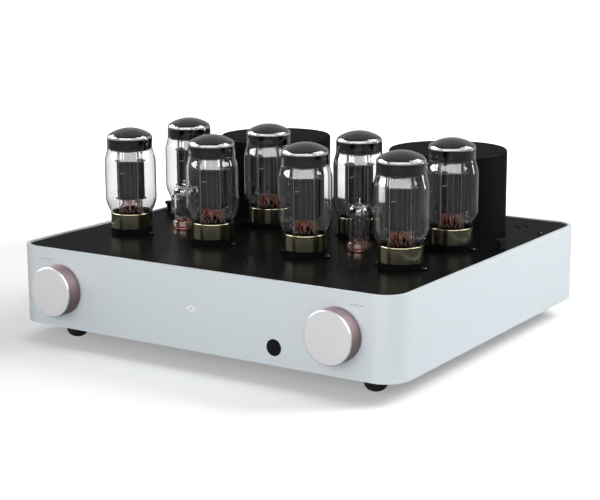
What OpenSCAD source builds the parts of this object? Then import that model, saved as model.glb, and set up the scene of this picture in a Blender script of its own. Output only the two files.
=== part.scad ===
// Stereo tube amplifier: a low metal case with two front knobs, eight plug-in
// power tubes, four small signal tubes and two round transformer cans.
// X is to the right, Y to the back and Z up, with the feet standing on Z = 0.

/* [Case] */
// Width of the case
case_w = 440; // [430:2:460]
// Depth of the case
case_d = 399; // [390:1:420]
// Height of the band that wraps round the case
case_h = 79; // [76:1:90]
// Radius of the band's upright corners
corner_r = 25; // [20:1:32]
// Thickness of the band
wall = 4; // [3:0.5:5]
// Height of the rubber feet
foot_h = 20; // [16:1:24]

/* [Front panel] */
// Diameter of the two knobs
knob_d = 50; // [40:1:54]
// Depth of the two knobs
knob_depth = 16.7; // [12:0.1:24]
// Distance of each knob from the middle of the front
knob_x = 160.5; // [140:0.5:165]
// Distance of the remote control window from the middle of the front
window_x = 93; // [60:1:110]

/* [Power tubes] */
// Widest diameter of the glass
bulb_d = 53; // [48:0.2:54]
// Height of a tube above the case
tube_h = 109.5; // [100:0.5:120]
// Diameter of the metal base
base_d = 42.8; // [42:0.1:44]
// Distance of the outer tubes from the middle
outer_x = 161; // [158:0.5:166]
// Distance of the inner tubes from the middle
inner_x = 55.5; // [50:0.5:62]

/* [Signal tubes] */
// Diameter of the glass
small_d = 22.6; // [20:0.1:23]
// Height of a small tube above the case
small_h = 50; // [46:0.5:56]

/* [Transformers] */
// Diameter of each can
can_d = 124; // [110:1:128]
// Height of each can above the case
can_h = 84; // [75:1:95]
// Distance of each can from the middle
can_x = 109; // [104:1:116]

/* [Hidden] */
$fn = 64;
knob_gap = 0.8;            // between each knob and the panel
terminal_out = 25.5;       // how far the speaker terminals stand out behind
front_out = knob_gap + knob_depth;
mid_y = (front_out - terminal_out) / 2;
front_y = mid_y - case_d / 2;
rear_y = mid_y + case_d / 2;
case_top = foot_h + case_h;
deck_t = 3;                // thickness of the black deck plate
deck_drop = 1.2;           // how far the deck lies below the band's edge
deck_z = case_top - deck_drop;
floor_t = 1.5;             // thickness of the bottom plate
floor_z = foot_h + 1;
ledge_w = 14;              // ledges inside the band that carry the plates
ledge_t = 4;
plate_gap = 0.2;
knob_z = foot_h + case_h / 2;
window_z = foot_h + 17;
window_r = 8;

// Rear opening and its panel
opening_w = 372;
opening_h = 54;
opening_z = foot_h + 12;
rear_t = 2.5;
rear_inner_y = rear_y - wall - rear_t;

// Bushings that carry the two knob shafts
bush_r = 4.8;
bush_hole_r = 5;
shaft_r = 3;
shaft_gap = 0.05;

// Tube places: the front row first, each row from left to right
columns = [-outer_x, -inner_x, inner_x, outer_x];
front_row_y = mid_y - 87.6;
rear_row_y = mid_y + 14;
tube_places = [for (y = [front_row_y, rear_row_y], x = columns) [x, y]];
small_shift = 22;          // either side of the middle between two columns
small_mid = (outer_x + inner_x) / 2;
small_columns = [-small_mid - small_shift, -small_mid + small_shift, small_mid - small_shift,
                 small_mid + small_shift];
small_places = [for (x = small_columns) [x, (front_row_y + rear_row_y) / 2]];
can_y = mid_y + 106.3;
can_t = 1.5;
can_edge_r = 3;
coil_h = 62;

// Power tube, heights above the case
seat_z = case_top + 5;     // top of each socket
base_z = seat_z + 0.2;
base_top = case_top + 21.4;
glass_foot = case_top + 16.5;
glass_t = 1.2;
flare_z = 21.4;
flare_h = 16.5;            // height over which the bulb widens above its base
neck_r = 23.5;
foot_r = 20;               // the glass where it goes into the base
shoulder_z = 74.5;         // the bulb narrows to its neck from here
shoulder_h = 15;
crown_lean = 58;           // slope at which the curl runs into the crown
crown_curl = 6;            // radius of the curl between neck and crown
rod_circle_r = 7;
pin_circle_r = 8.73;
pin_r = 1.19;
pin_len = 11;
key_r = 3.9;
key_len = 13;
screw_out = 24.6;          // socket screws, either side of a tube
ear_r = 3.6;
ear_t = 1.5;
power_body_r = 16.5;       // what of each socket is below the deck
small_body_r = 10.2;

// Small tube
collar_r = 12.2;
collar_round = 3.2;        // rounding under each collar
collar_seat_r = 10.9;      // the flat on which a collar stands
collar_top = case_top + 5.6;
small_foot = case_top + 1.2;
small_pin_circle_r = 5.945;
small_pin_r = 0.5;
small_pin_len = 6;

// Rear connectors
terminal_z = foot_h + 36;
terminal_xs = [for (s = [-1, 1], i = [0 : 2]) s * 132 + (i - 1) * 26];
terminal_r = 6.5;
banana_r = 2.0;
banana_len = 15;
jack_xs = [for (i = [0 : 5]) -50 + i * 15];
jack_z = foot_h + 46;
jack_r = 4.15;
jack_out = 9;
inlet_x = 75;
inlet_z = foot_h + 40;
rocker_x = inlet_x;
rocker_z = foot_h + 20.5;
rocker_w = 19;
rocker_h = 8.6;
rocker_tilt = 8;           // either side of level

post_x = 206;
post_y = mid_y + 33;
post_shank_r = 2;
foot_pad_r = 11.2;
foot_round = 9.2;          // rounding of each foot's lower edge
foot_x = 177;
foot_ys = [mid_y - 160, mid_y + 160];
board_z = floor_z + 16;
cap_r = 15;

screw_r = 1.5;
screw_len = 8;
screw_head_r = 2.9;
screw_head_h = 1.6;

TUBES = [1 : 8];
SMALL = [1 : 4];

// ---- Shapes that repeat ----

module rounded(w, d, r) {
  square([w - 2 * r, d], center = true);
  square([w, d - 2 * r], center = true);
  for (x = [-1, 1], y = [-1, 1]) translate([x * (w / 2 - r), y * (d / 2 - r)]) circle(r);
}

// A plate that fits inside the band, held clear of it by a small gap
module inner_plate(z, t, gap) {
  inset = 2 * (wall + gap);
  translate([0, mid_y, z]) linear_extrude(t)
    rounded(case_w - inset, case_d - inset, corner_r - wall - gap);
}

// Half outline of a round shape with a rounded outer edge at its top
module edge_profile(r, h, e) {
  square([r - e, h]);
  square([r, h - e]);
  translate([r - e, h - e]) circle(e);
}

// Puts a shape that points up so that it points to the front
module to_front(x, y, z) {
  translate([x, y, z]) rotate([90, 0, 0]) children();
}

// Puts a shape that points up so that it points to the back
module to_back(x, y, z) {
  translate([x, y, z]) rotate([-90, 0, 0]) children();
}

// Pan-head screw with its shank along -Z and its head's underside at Z = 0
module screw() {
  translate([0, 0, -screw_len]) cylinder(r = screw_r, h = screw_len + 0.1);
  cylinder(r = screw_head_r, h = screw_head_h);
}

module screw_hole() {
  translate([0, 0, -screw_len - 0.5]) cylinder(r = screw_r + 0.05, h = screw_len + 1.5);
}

// ---- Places of the screws ----

module at_socket_screws() {
  for (p = tube_places, s = [-1, 1])
    translate([p.x + s * screw_out, p.y, deck_z + ear_t]) children();
}

module at_deck_screws() {
  for (s = [-1, 1]) translate([s * 206, mid_y + 129, deck_z]) children();
}

module at_can_screws() {
  for (s = [-1, 1], a = [60, 180, 300])
    translate([s * can_x + 57 * cos(a), can_y + 57 * sin(a), deck_z - deck_t]) mirror([0, 0, 1]) children();
}

module at_floor_screws() {
  for (x = [-140, 0, 140], s = [-1, 1])
    translate([x, mid_y + s * (case_d / 2 - wall - 3.5), floor_z]) mirror([0, 0, 1]) children();
}

module at_rear_screws() {
  for (x = [-1, 1]) to_back(x * (opening_w / 2 + 5), rear_y, foot_h + case_h / 2) children();
}

module at_foot_screws() {
  for (x = [-1, 1], y = foot_ys) translate([x * foot_x, y, floor_z + floor_t]) children();
}

// ---- Case ----

module case_band() {
  color("silver") difference() {
    union() {
      translate([0, mid_y, foot_h]) linear_extrude(case_h) difference() {
        rounded(case_w, case_d, corner_r);
        rounded(case_w - 2 * wall, case_d - 2 * wall, corner_r - wall);
      }
      for (z = [floor_z + floor_t, deck_z - deck_t - ledge_t])
        translate([0, mid_y, z]) linear_extrude(ledge_t) difference() {
          rounded(case_w - 2 * wall, case_d - 2 * wall, corner_r - wall);
          rounded(case_w - 2 * (wall + ledge_w), case_d - 2 * (wall + ledge_w), corner_r - wall - ledge_w);
        }
    }
    for (s = [-1, 1]) to_back(s * knob_x, front_y - 1, knob_z) cylinder(r = bush_hole_r, h = wall + 2);
    to_back(window_x, front_y - 1, window_z) cylinder(r = window_r, h = wall + 2);
    translate([-opening_w / 2, rear_y - wall - 1, opening_z]) cube([opening_w, wall + 2, opening_h]);
    at_floor_screws() screw_hole();
    at_deck_screws() screw_hole();
    at_rear_screws() screw_hole();
    for (s = [-1, 1]) translate([s * post_x, post_y, deck_z - 10]) cylinder(r = post_shank_r + 0.1, h = 8);
  }
}

// Black plate that carries the tubes, the cans and the sockets
module deck_plate() {
  color("#26282a") difference() {
    inner_plate(deck_z - deck_t, deck_t, plate_gap);
    for (p = tube_places) translate([p.x, p.y, deck_z - 10])
      cylinder(r = power_body_r + 0.5, h = 20);
    for (p = small_places) translate([p.x, p.y, deck_z - 10])
      cylinder(r = small_body_r + 0.2, h = 20);
    for (s = [-1, 1]) {
      translate([s * can_x, can_y, deck_z - 10]) cylinder(r = 4.2, h = 20);
      translate([s * can_x, can_y - 11, deck_z - 10]) cylinder(r = 4.5, h = 20);
      translate([s * post_x, post_y, deck_z - 10]) cylinder(r = post_shank_r + 0.1, h = 20);
      for (i = [0, 1]) translate([s * (171 + 7 * i), mid_y + 149 + 7 * i, deck_z - 10])
        rotate([0, 0, s * -45]) translate([-9, -1, 0]) cube([18, 2, 20]);
    }
    at_socket_screws() screw_hole();
    at_deck_screws() screw_hole();
    at_can_screws() screw_hole();
  }
}

module bottom_plate() {
  color("#303234") difference() {
    inner_plate(floor_z, floor_t, plate_gap);
    for (x = [-120 : 12 : 120], y = [-60, 60])
      translate([x - 1.5, mid_y + y - 25, floor_z - 1]) cube([3, 50, floor_t + 2]);
    at_floor_screws() screw_hole();
    at_foot_screws() screw_hole();
  }
}

// Panel behind the rear opening, with the cut-outs for the connectors
module rear_panel() {
  color("#2b2d2f") difference() {
    translate([-opening_w / 2 - 10, rear_inner_y, opening_z - 2])
      cube([opening_w + 20, rear_t, opening_h + 4]);
    for (x = terminal_xs) to_back(x, rear_inner_y - 1, terminal_z) cylinder(r = 4.2, h = rear_t + 2);
    for (x = jack_xs) to_back(x, rear_inner_y - 1, jack_z) cylinder(r = jack_r + 0.1, h = rear_t + 2);
    translate([inlet_x - 15, rear_inner_y - 1, foot_h + 13.5]) cube([30, rear_t + 2, 38.5]);
    at_rear_screws() screw_hole();
  }
}

module feet() {
  color("#1c1c1c") for (x = [-1, 1], y = foot_ys) translate([x * foot_x, y, floor_z]) difference() {
    mirror([0, 0, 1]) rotate_extrude() intersection() {
      edge_profile(foot_pad_r, foot_h + 1, foot_round);
      square([20, foot_h + 2]);
    }
    translate([0, 0, -screw_len + floor_t]) cylinder(r = screw_r, h = screw_len);
  }
}

module case_screws() {
  color("#4a4c4e") {
    at_socket_screws() screw();
    at_deck_screws() screw();
    at_can_screws() screw();
    at_floor_screws() screw();
    at_foot_screws() screw();
    at_rear_screws() screw();
  }
}

// ---- Transformers ----

// Open-bottomed can with a narrow inner flange that is screwed to the deck
module transformer_can(s) {
  color("#1f2122") translate([s * can_x, can_y, deck_z]) difference() {
    rotate_extrude() intersection() {
      difference() {
        edge_profile(can_d / 2, can_h + deck_drop, can_edge_r);
        translate([0, can_t])
          edge_profile(can_d / 2 - can_t, can_h + deck_drop - 2 * can_t, can_edge_r - can_t);
        square([can_d / 2 - 9, can_t + 1]);
      }
      square([can_d, can_h * 2]);
    }
    for (a = [60, 180, 300]) rotate(a) translate([57, 0, -1]) cylinder(r = screw_r + 0.05, h = can_t + 2);
  }
}

module toroid_coils() {
  color("#b87a3c") for (s = [-1, 1]) translate([s * can_x, can_y, deck_z]) rotate_extrude() {
    translate([24, 0]) square([24, coil_h]);
    translate([18, 6]) square([36, coil_h - 12]);
    for (x = [24, 48], z = [6, coil_h - 6]) translate([x, z]) circle(6);
  }
}

// Bolt, clamp washer and nut that hold each coil down
module transformer_bolts() {
  color("#a9adb1") for (s = [-1, 1]) translate([s * can_x, can_y, deck_z]) {
    translate([0, 0, -deck_t - 5]) cylinder(r = 6.5, h = 5, $fn = 6);
    translate([0, 0, -deck_t - 1]) cylinder(r = 4, h = coil_h + 17);
    translate([0, 0, coil_h]) cylinder(r = 30, h = 2);
    translate([0, 0, coil_h + 1.9]) cylinder(r = 6.5, h = 6, $fn = 6);
  }
}

// ---- Sockets and posts on the deck ----

module power_tube_sockets() {
  color("#161616") for (p = tube_places) translate([p.x, p.y, 0]) difference() {
    union() {
      translate([0, 0, deck_z]) cylinder(r = base_d / 2, h = seat_z - deck_z);
      translate([0, 0, deck_z - 14]) cylinder(r = power_body_r, h = 15);
      translate([-screw_out, -ear_r, deck_z]) cube([2 * screw_out, 2 * ear_r, ear_t]);
      for (s = [-1, 1]) translate([s * screw_out, 0, deck_z]) cylinder(r = ear_r, h = ear_t);
    }
    for (i = [0 : 7]) rotate(22.5 + 45 * i)
      translate([pin_circle_r, 0, seat_z - pin_len - 1]) cylinder(r = pin_r + 0.07, h = pin_len + 2);
    translate([0, 0, seat_z - key_len - 1]) cylinder(r = key_r + 0.08, h = key_len + 2);
    rotate(-90) translate([0, -0.9, seat_z - key_len - 1]) cube([key_r + 1.1, 1.8, key_len + 2]);
    for (s = [-1, 1]) translate([s * screw_out, 0, deck_z - 1]) cylinder(r = screw_r + 0.05, h = 4);
  }
}

module small_tube_sockets() {
  color("#c98a76") for (p = small_places) translate([p.x, p.y, 0]) difference() {
    union() {
      translate([0, 0, deck_z]) rotate_extrude() {
        square([collar_r - collar_round, collar_top - deck_z]);
        translate([0, collar_round]) square([collar_r, collar_top - deck_z - collar_round]);
        translate([collar_r - collar_round, collar_round]) circle(collar_round);
        square([collar_seat_r, 0.5]);
      }
      translate([0, 0, deck_z - 9]) cylinder(r = small_body_r, h = 10);
    }
    translate([0, 0, small_foot - 0.2]) cylinder(r = small_d / 2 + 0.2, h = 20);
    for (i = [1 : 9]) rotate(36 * i - 90)
      translate([small_pin_circle_r, 0, small_foot - small_pin_len - 1])
        cylinder(r = small_pin_r + 0.06, h = small_pin_len + 2);
  }
}

// Posts at the sides that a protective cage would be screwed to
module cage_posts() {
  color("#1a1a1a") for (s = [-1, 1]) translate([s * post_x, post_y, deck_z]) {
    translate([0, 0, -6]) cylinder(r = post_shank_r, h = 8);
    cylinder(r = 4.5, h = 2);
    cylinder(r = 2.8, h = 8);
    translate([0, 0, 7.9]) cylinder(r = 4.5, h = 3);
  }
}

// ---- Power tubes ----

// Outline of the bulb from its foot in the base to its top, drawn in by "t": a flare up to the
// widest part, a shoulder in to the neck, a tight curl and a low crown
function bulb_outline(t) = let (
  wide = bulb_d / 2 - t,
  foot = foot_r - t,
  neck = neck_r - t,
  crown_r = (neck_r - crown_curl * (1 - cos(crown_lean))) / cos(crown_lean),
  crown_z = tube_h - crown_r,
  curl_z = crown_z + crown_r * sin(crown_lean) - crown_curl * sin(crown_lean)
) concat(
  [[foot, glass_foot - case_top], [foot, flare_z]],
  [for (a = [10 : 16 : 90]) [foot + 1 + (wide - foot - 1) * sin(a), flare_z + flare_h * a / 90]],
  [for (a = [0 : 45 : 180]) [neck + (wide - neck) * (1 + cos(a)) / 2, shoulder_z + shoulder_h * a / 180]],
  [for (a = [0 : 14.5 : crown_lean]) [neck_r - crown_curl + (crown_curl - t) * cos(a),
                                      curl_z + (crown_curl - t) * sin(a)]],
  [for (a = [66 : 8 : 82]) [(crown_r - t) * cos(a), crown_z + (crown_r - t) * sin(a)]],
  [[0, tube_h - t]]
);

module power_tube_glass(i) {
  p = tube_places[i - 1];
  color([0.85, 0.9, 0.92, 0.35]) translate([p.x, p.y, case_top]) rotate_extrude() difference() {
    polygon(concat([[0, glass_foot - case_top]], bulb_outline(0)));
    polygon(concat([[0, glass_foot - case_top - 1], [foot_r - glass_t, glass_foot - case_top - 1]],
                   bulb_outline(glass_t)));
  }
}

// Metal base cup with its eight contact pins and the central key
module power_tube_base(i) {
  p = tube_places[i - 1];
  color("#8a8462") translate([p.x, p.y, 0]) {
    difference() {
      translate([0, 0, base_z]) cylinder(r = base_d / 2, h = base_top - base_z);
      translate([0, 0, glass_foot]) cylinder(r = foot_r + 0.1, h = 20);
    }
    for (i = [0 : 7]) rotate(22.5 + 45 * i)
      translate([pin_circle_r, 0, base_z - pin_len]) cylinder(r = pin_r, h = pin_len + 1);
    translate([0, 0, base_z - key_len]) cylinder(r = key_r, h = key_len + 1);
    rotate(-90) translate([0, -0.7, base_z - key_len]) cube([key_r + 0.8, 1.4, key_len + 1]);
  }
}

// Glass stem, plate box, mica discs and support rods inside the bulb
module power_tube_electrodes(i) {
  p = tube_places[i - 1];
  color("#3c3d40") translate([p.x, p.y, case_top]) rotate(30) {
    translate([0, 0, glass_foot - case_top]) cylinder(r = 14, h = 3);
    translate([0, 0, glass_foot - case_top]) cylinder(r = 9, h = 10);
    for (a = [0 : 60 : 300]) rotate(a) translate([rod_circle_r, 0, 20]) cylinder(r = 0.8, h = 60);
    translate([0, 0, 35.5]) cylinder(r = 18, h = 0.8);
    translate([0, 0, 36.2]) linear_extrude(38) difference() {
      rounded(27, 20, 6);
      rounded(25.8, 18.8, 5.4);
    }
    translate([0, 0, 74.6]) cylinder(r = 17, h = 0.8);
    translate([0, 0, 79]) cylinder(r = 12, h = 0.8);
  }
}

// ---- Small tubes ----

module small_tube_glass(i) {
  p = small_places[i - 1];
  r = small_d / 2;
  straight_low = 1.2;
  straight_high = 37.5;
  shoulder = 43.5;
  round_r = shoulder - straight_high;
  t = 1;
  color([0.85, 0.9, 0.92, 0.35]) translate([p.x, p.y, case_top]) rotate_extrude() intersection() {
    difference() {
      union() {
        translate([0, straight_low]) square([r, straight_high - straight_low]);
        translate([0, straight_high]) square([r - round_r, round_r]);
        translate([r - round_r, straight_high]) circle(round_r);
        polygon([[0, 42], [3.4, shoulder - 0.2], [1.4, shoulder + 2], [0.6, small_h], [0, small_h]]);
      }
      translate([0, 2.4]) square([r - t, straight_high - 2.4]);
      translate([0, straight_high - 0.1]) square([r - round_r, round_r - t + 0.1]);
      translate([r - round_r, straight_high]) circle(round_r - t);
    }
    square([20, small_h + 5]);
  }
}

// Pins, mica discs and the twin plates inside a small tube
module small_tube_electrodes(i) {
  p = small_places[i - 1];
  color("#6b6d70") translate([p.x, p.y, case_top]) {
    for (i = [1 : 9]) rotate(36 * i - 90)
      translate([small_pin_circle_r, 0, 1.2 - small_pin_len]) cylinder(r = small_pin_r, h = small_pin_len);
    for (s = [-1, 1]) translate([s * 3.9, 0, 2.4]) cylinder(r = 0.5, h = 34);
    for (z = [11, 31]) translate([0, 0, z]) cylinder(r = 8.8, h = 0.5);
    for (s = [-1, 1]) translate([s * 3.9, 0, 11.5]) linear_extrude(19.5) square([5, 9], center = true);
    translate([0, 0, 36]) cylinder(r = 4.5, h = 0.6);
    translate([0, 0, 31]) cylinder(r = 0.5, h = 5.2);
  }
}

// ---- Knobs ----

// Anodised ring of a knob, with a recess in front for its face and a hollow behind
module knob_ring(x) {
  r = knob_d / 2;
  color("#c9a3a0") to_front(x, front_y - knob_gap, knob_z) difference() {
    rotate_extrude() difference() {
      square([r, knob_depth]);
      polygon([[r - 0.8, knob_depth + 0.01], [r + 1, knob_depth + 0.01], [r + 1, knob_depth - 0.8],
               [r, knob_depth - 0.8]]);
      translate([r - 0.5, 2.2]) square([2, 0.9]);
    }
    translate([0, 0, knob_depth - 1.5]) cylinder(r = r - 1.4, h = 3);
    translate([0, 0, -1]) cylinder(r = 10.5, h = 6);
    cylinder(r = shaft_r + 0.02, h = knob_depth * 2);
  }
}

module knob_face(x) {
  color("#e2dcd9") to_front(x, front_y - knob_gap - knob_depth + 1.5, knob_z)
    cylinder(r = knob_d / 2 - 1.45, h = 1.5);
}

// Shaft from inside its control to just behind the knob's face
module knob_shaft(x) {
  color("#9da1a5") to_front(x, front_y + wall + 12, knob_z)
    cylinder(r = shaft_r, h = wall + 12 + knob_gap + knob_depth - 1.6);
}

// Threaded bushing and nut that fix a control to the panel, with the shaft's bore
module bushing(x) {
  to_front(x, front_y + wall + 0.1, knob_z) difference() {
    union() {
      cylinder(r = bush_r, h = wall + 4);
      translate([0, 0, wall + 0.2]) cylinder(r = 7.5, h = 2.5, $fn = 6);
    }
    translate([0, 0, -1]) cylinder(r = shaft_r + shaft_gap, h = wall + 8);
  }
}

// Motor-driven volume control behind the panel
module volume_control() {
  color("#5d6164") {
    bushing(-knob_x);
    difference() {
      union() {
        translate([-knob_x - 13, front_y + wall + 0.1, knob_z - 13]) cube([26, 24, 26]);
        to_back(-knob_x, front_y + wall + 24, knob_z) cylinder(r = 11, h = 26);
      }
      to_back(-knob_x, front_y, knob_z) cylinder(r = shaft_r + shaft_gap, h = wall + 12.5);
    }
  }
}

// Rotary input switch behind the panel
module selector_switch() {
  color("#6d6a55") {
    bushing(knob_x);
    difference() {
      to_back(knob_x, front_y + wall + 0.1, knob_z) union() {
        cylinder(r = 16, h = 14);
        translate([0, 0, 13.9]) cylinder(r = 12, h = 12);
      }
      to_back(knob_x, front_y, knob_z) cylinder(r = shaft_r + shaft_gap, h = wall + 12.5);
    }
  }
}

module remote_window() {
  color("#0d0d0f") {
    to_back(window_x, front_y - 0.3, window_z) cylinder(r = window_r - 0.1, h = wall + 1.5);
    translate([window_x - 6, front_y + wall + 1, window_z - 6]) cube([12, 7, 12]);
  }
}

// ---- Rear connectors ----

// Moulding with the mains inlet's cavity above the frame of the power switch
module power_inlet() {
  face_y = rear_y + 1.5;
  back_y = rear_inner_y - 18;
  color("#18191a") difference() {
    union() {
      translate([inlet_x - 17, rear_inner_y + rear_t + 0.1, foot_h + 12.5])
        cube([34, face_y - rear_inner_y - rear_t - 0.1, 40.5]);
      translate([inlet_x - 14.8, back_y, foot_h + 13.7]) cube([29.6, face_y - back_y, 38.1]);
    }
    translate([inlet_x - 12, face_y - 16, inlet_z - 8]) cube([24, 17, 16]);
    translate([rocker_x - rocker_w / 2 - 0.4, face_y - 13, rocker_z - rocker_h / 2 - 1.1])
      cube([rocker_w + 0.8, 14, rocker_h + 2.2]);
    translate([rocker_x, face_y - 5, rocker_z]) rotate([0, 90, 0])
      cylinder(r = 1.26, h = 26, center = true);
  }
  color("#c8ccd0") {
    for (s = [-1, 1]) translate([inlet_x + s * 7 - 1, face_y - 17, inlet_z - 3]) cube([2, 13, 4]);
    translate([inlet_x - 1, face_y - 17, inlet_z + 1.5]) cube([2, 14, 4]);
  }
}

// Rocker of the power switch, turning on its two pivot pins
module power_rocker() {
  face_y = rear_y + 1.5;
  half = rocker_h / 2;
  color("#101112")
  translate([rocker_x, face_y - 5, rocker_z]) rotate([0, 90, 0]) rotate(rocker_tilt) union() {
    linear_extrude(rocker_w, center = true) intersection() {
      circle(7);
      polygon([[-half, -4], [half, -4], [half, 6.4], [0, 5.4], [-half, 6.4]]);
    }
    cylinder(r = 1.2, h = rocker_w + 3.4, center = true);
  }
}

// Pairs of coaxial input jacks
module input_jacks() {
  color("#c9a960") for (x = jack_xs) to_back(x, rear_inner_y - 8, jack_z) difference() {
    union() {
      cylinder(r = jack_r, h = 8 + rear_t + wall + jack_out);
      translate([0, 0, 8 + rear_t + 0.05]) cylinder(r = 6, h = 1.8, $fn = 6);
      translate([0, 0, 5]) cylinder(r = 5.5, h = 2.9);
    }
    translate([0, 0, 8 + rear_t]) cylinder(r = 1.65, h = 40);
  }
}

// Speaker terminals that take bare wire or a banana plug
module speaker_terminals() {
  out = rear_t + wall + terminal_out;
  color("#b9a36a") for (x = terminal_xs) to_back(x, rear_inner_y, terminal_z) difference() {
    union() {
      translate([0, 0, -12]) cylinder(r = 2.5, h = 13);
      translate([0, 0, -4]) cylinder(r = 6.5, h = 3.9);
      translate([0, 0, -0.5]) cylinder(r = 4, h = out);
      translate([0, 0, rear_t + 0.1]) cylinder(r = terminal_r, h = 6);
      translate([0, 0, out - 16]) cylinder(r = terminal_r, h = 16);
    }
    translate([0, 0, out - banana_len]) cylinder(r = banana_r, h = banana_len + 1);
    translate([-8, 0, rear_t + 8.5]) rotate([0, 90, 0]) cylinder(r = 1.2, h = 16);
  }
}

// ---- Inside the case ----

module circuit_board() {
  color("#2f5d3a") {
    difference() {
      translate([-150, mid_y - 110, board_z]) cube([300, 120, 1.6]);
      for (x = [-143, 143], y = [-103, 3]) translate([x, mid_y + y, board_z - 1]) cylinder(r = 1.7, h = 4);
    }
  }
  color("#b9bcc0") for (x = [-143, 143], y = [-103, 3]) translate([x, mid_y + y, floor_z + floor_t])
    cylinder(r = 3, h = board_z - floor_z - floor_t);
}

module filter_capacitors() {
  color("#24364f") for (x = [-100, -60, 60, 100], y = [-80, -30])
    translate([x, mid_y + y, board_z + 1.6]) rotate_extrude() intersection() {
      edge_profile(cap_r, 34, 1.5);
      square([cap_r + 1, 40]);
    }
}

// ---- Nodes ----

case_band();
deck_plate();
bottom_plate();
rear_panel();
feet();
transformer_can(-1);  // left_transformer_can
transformer_can(1);  // right_transformer_can
toroid_coils();
transformer_bolts();
power_tube_sockets();
small_tube_sockets();
cage_posts();
knob_ring(-knob_x);  // volume_knob_ring
knob_face(-knob_x);  // volume_knob_face
knob_shaft(-knob_x);  // volume_shaft
volume_control();
knob_ring(knob_x);  // selector_knob_ring
knob_face(knob_x);  // selector_knob_face
knob_shaft(knob_x);  // selector_shaft
selector_switch();
remote_window();
power_inlet();
power_rocker();
input_jacks();
speaker_terminals();
circuit_board();
filter_capacitors();
case_screws();
for (i = TUBES) {
  power_tube_glass(i);
  power_tube_base(i);
  power_tube_electrodes(i);
}
for (i = SMALL) {
  small_tube_glass(i);
  small_tube_electrodes(i);
}
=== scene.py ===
import bpy
import bmesh
import math
import random
from mathutils import Matrix, Vector


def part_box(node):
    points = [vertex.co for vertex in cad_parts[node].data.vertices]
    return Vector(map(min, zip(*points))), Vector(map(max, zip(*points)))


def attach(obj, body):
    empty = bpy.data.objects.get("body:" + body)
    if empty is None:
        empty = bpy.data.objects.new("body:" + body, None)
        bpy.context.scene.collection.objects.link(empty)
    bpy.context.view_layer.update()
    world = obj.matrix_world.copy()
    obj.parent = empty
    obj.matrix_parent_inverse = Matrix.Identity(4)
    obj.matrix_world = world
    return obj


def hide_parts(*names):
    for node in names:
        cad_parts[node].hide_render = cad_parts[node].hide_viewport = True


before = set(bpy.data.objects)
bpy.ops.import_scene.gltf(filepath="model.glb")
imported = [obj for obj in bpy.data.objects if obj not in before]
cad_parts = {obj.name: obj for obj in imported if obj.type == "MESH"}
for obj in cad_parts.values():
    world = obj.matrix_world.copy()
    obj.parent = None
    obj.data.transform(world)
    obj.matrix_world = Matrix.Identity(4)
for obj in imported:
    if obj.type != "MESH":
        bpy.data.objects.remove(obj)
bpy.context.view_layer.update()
print("frame loaded:", len(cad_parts), "nodes")

# where things are, all in metres and all from the frame
bandLow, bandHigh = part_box("case_band")
bandTop = bandHigh[2]
caseMiddle = Vector(((bandLow[0] + bandHigh[0]) / 2, (bandLow[1] + bandHigh[1]) / 2, bandLow[2]))
powerTubes = range(1, 9)
smallTubes = range(1, 5)


def centreOf(node):
    low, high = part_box(node)
    return Vector([(a + b) / 2 for a, b in zip(low, high)])


def sizeOf(node):
    low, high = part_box(node)
    return Vector([b - a for a, b in zip(low, high)])


# a node with the values of its inputs and its own settings
def addNode(tree, kind, values=None, **settings):
    node = tree.nodes.new(kind)
    for key, value in settings.items():
        setattr(node, key, value)
    for key, value in (values or {}).items():
        node.inputs[key].default_value = value
    return node


def linkAll(tree, *pairs):
    for source, target in pairs:
        tree.links.new(source, target)


def newTree(owner):
    owner.use_nodes = True
    owner.node_tree.nodes.clear()
    return owner.node_tree


# camera and light

camera = {"place": (0.8035, -1.2488, 0.3764), "aim": (0.05765, -0.10074, 0.08539), "roll": -0.305,
          "lens": 87.2, "sensor": 36, "near": 0.05, "far": 50}
studio = {"worldLevel": 0.2, "glossyShare": 0.12, "floorColor": 0.74, "floorLift": 0.3,
          "floorReach": 3.0, "shadowReach": 0.55, "fadeSpan": 1.7, "floorShare": 0.15}
lamps = (
    # name, place, aim, width, depth, power, lights matt surfaces, shows in shiny ones
    ("key softbox", (1.5, 1.3, 1.7), (0, 0, 0.05), 1.3, 1.3, 69, True, True),
    ("top softbox", (0.25, -0.1, 2.0), (0, 0, 0.1), 1.8, 1.8, 6, True, False),
    ("front softbox", (0.5, -2.0, 0.6), (0, 0, 0.05), 1.6, 1.2, 21.5, True, False),
    ("front reflector", (0.9, -1.9, 1.35), (0, 0, 0.1), 4.4, 1.4, 230, False, True),
    ("left reflector", (-1.8, -0.6, 1.1), (0, 0, 0.15), 2.6, 1.1, 180, False, True),
    ("right reflector", (1.6, 0.5, 1.5), (0, 0, 0.15), 1.6, 1.6, 120, False, True),
    ("side strip", (1.5, 1.4, 0.35), (0, 0, 0.1), 0.25, 0.9, 10, False, True),
)


def makeCamera():
    data = bpy.data.cameras.new("camera")
    data.lens = camera["lens"]
    data.sensor_width = camera["sensor"]
    data.clip_start = camera["near"]
    data.clip_end = camera["far"]
    shift = Vector((0, caseMiddle.y, bandLow[2]))
    place = Vector(camera["place"]) + shift
    back = (place - Vector(camera["aim"]) - shift).normalized()
    right = Vector((-back.y, back.x, 0)).normalized()
    up = back.cross(right)
    roll = math.radians(camera["roll"])
    turnedRight = right * math.cos(roll) + up * math.sin(roll)
    turnedUp = up * math.cos(roll) - right * math.sin(roll)
    facing = Matrix((turnedRight, turnedUp, back)).transposed().to_4x4()
    item = bpy.data.objects.new("camera", data)
    item.matrix_world = Matrix.Translation(place) @ facing
    bpy.context.collection.objects.link(item)
    bpy.context.scene.camera = item


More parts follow.
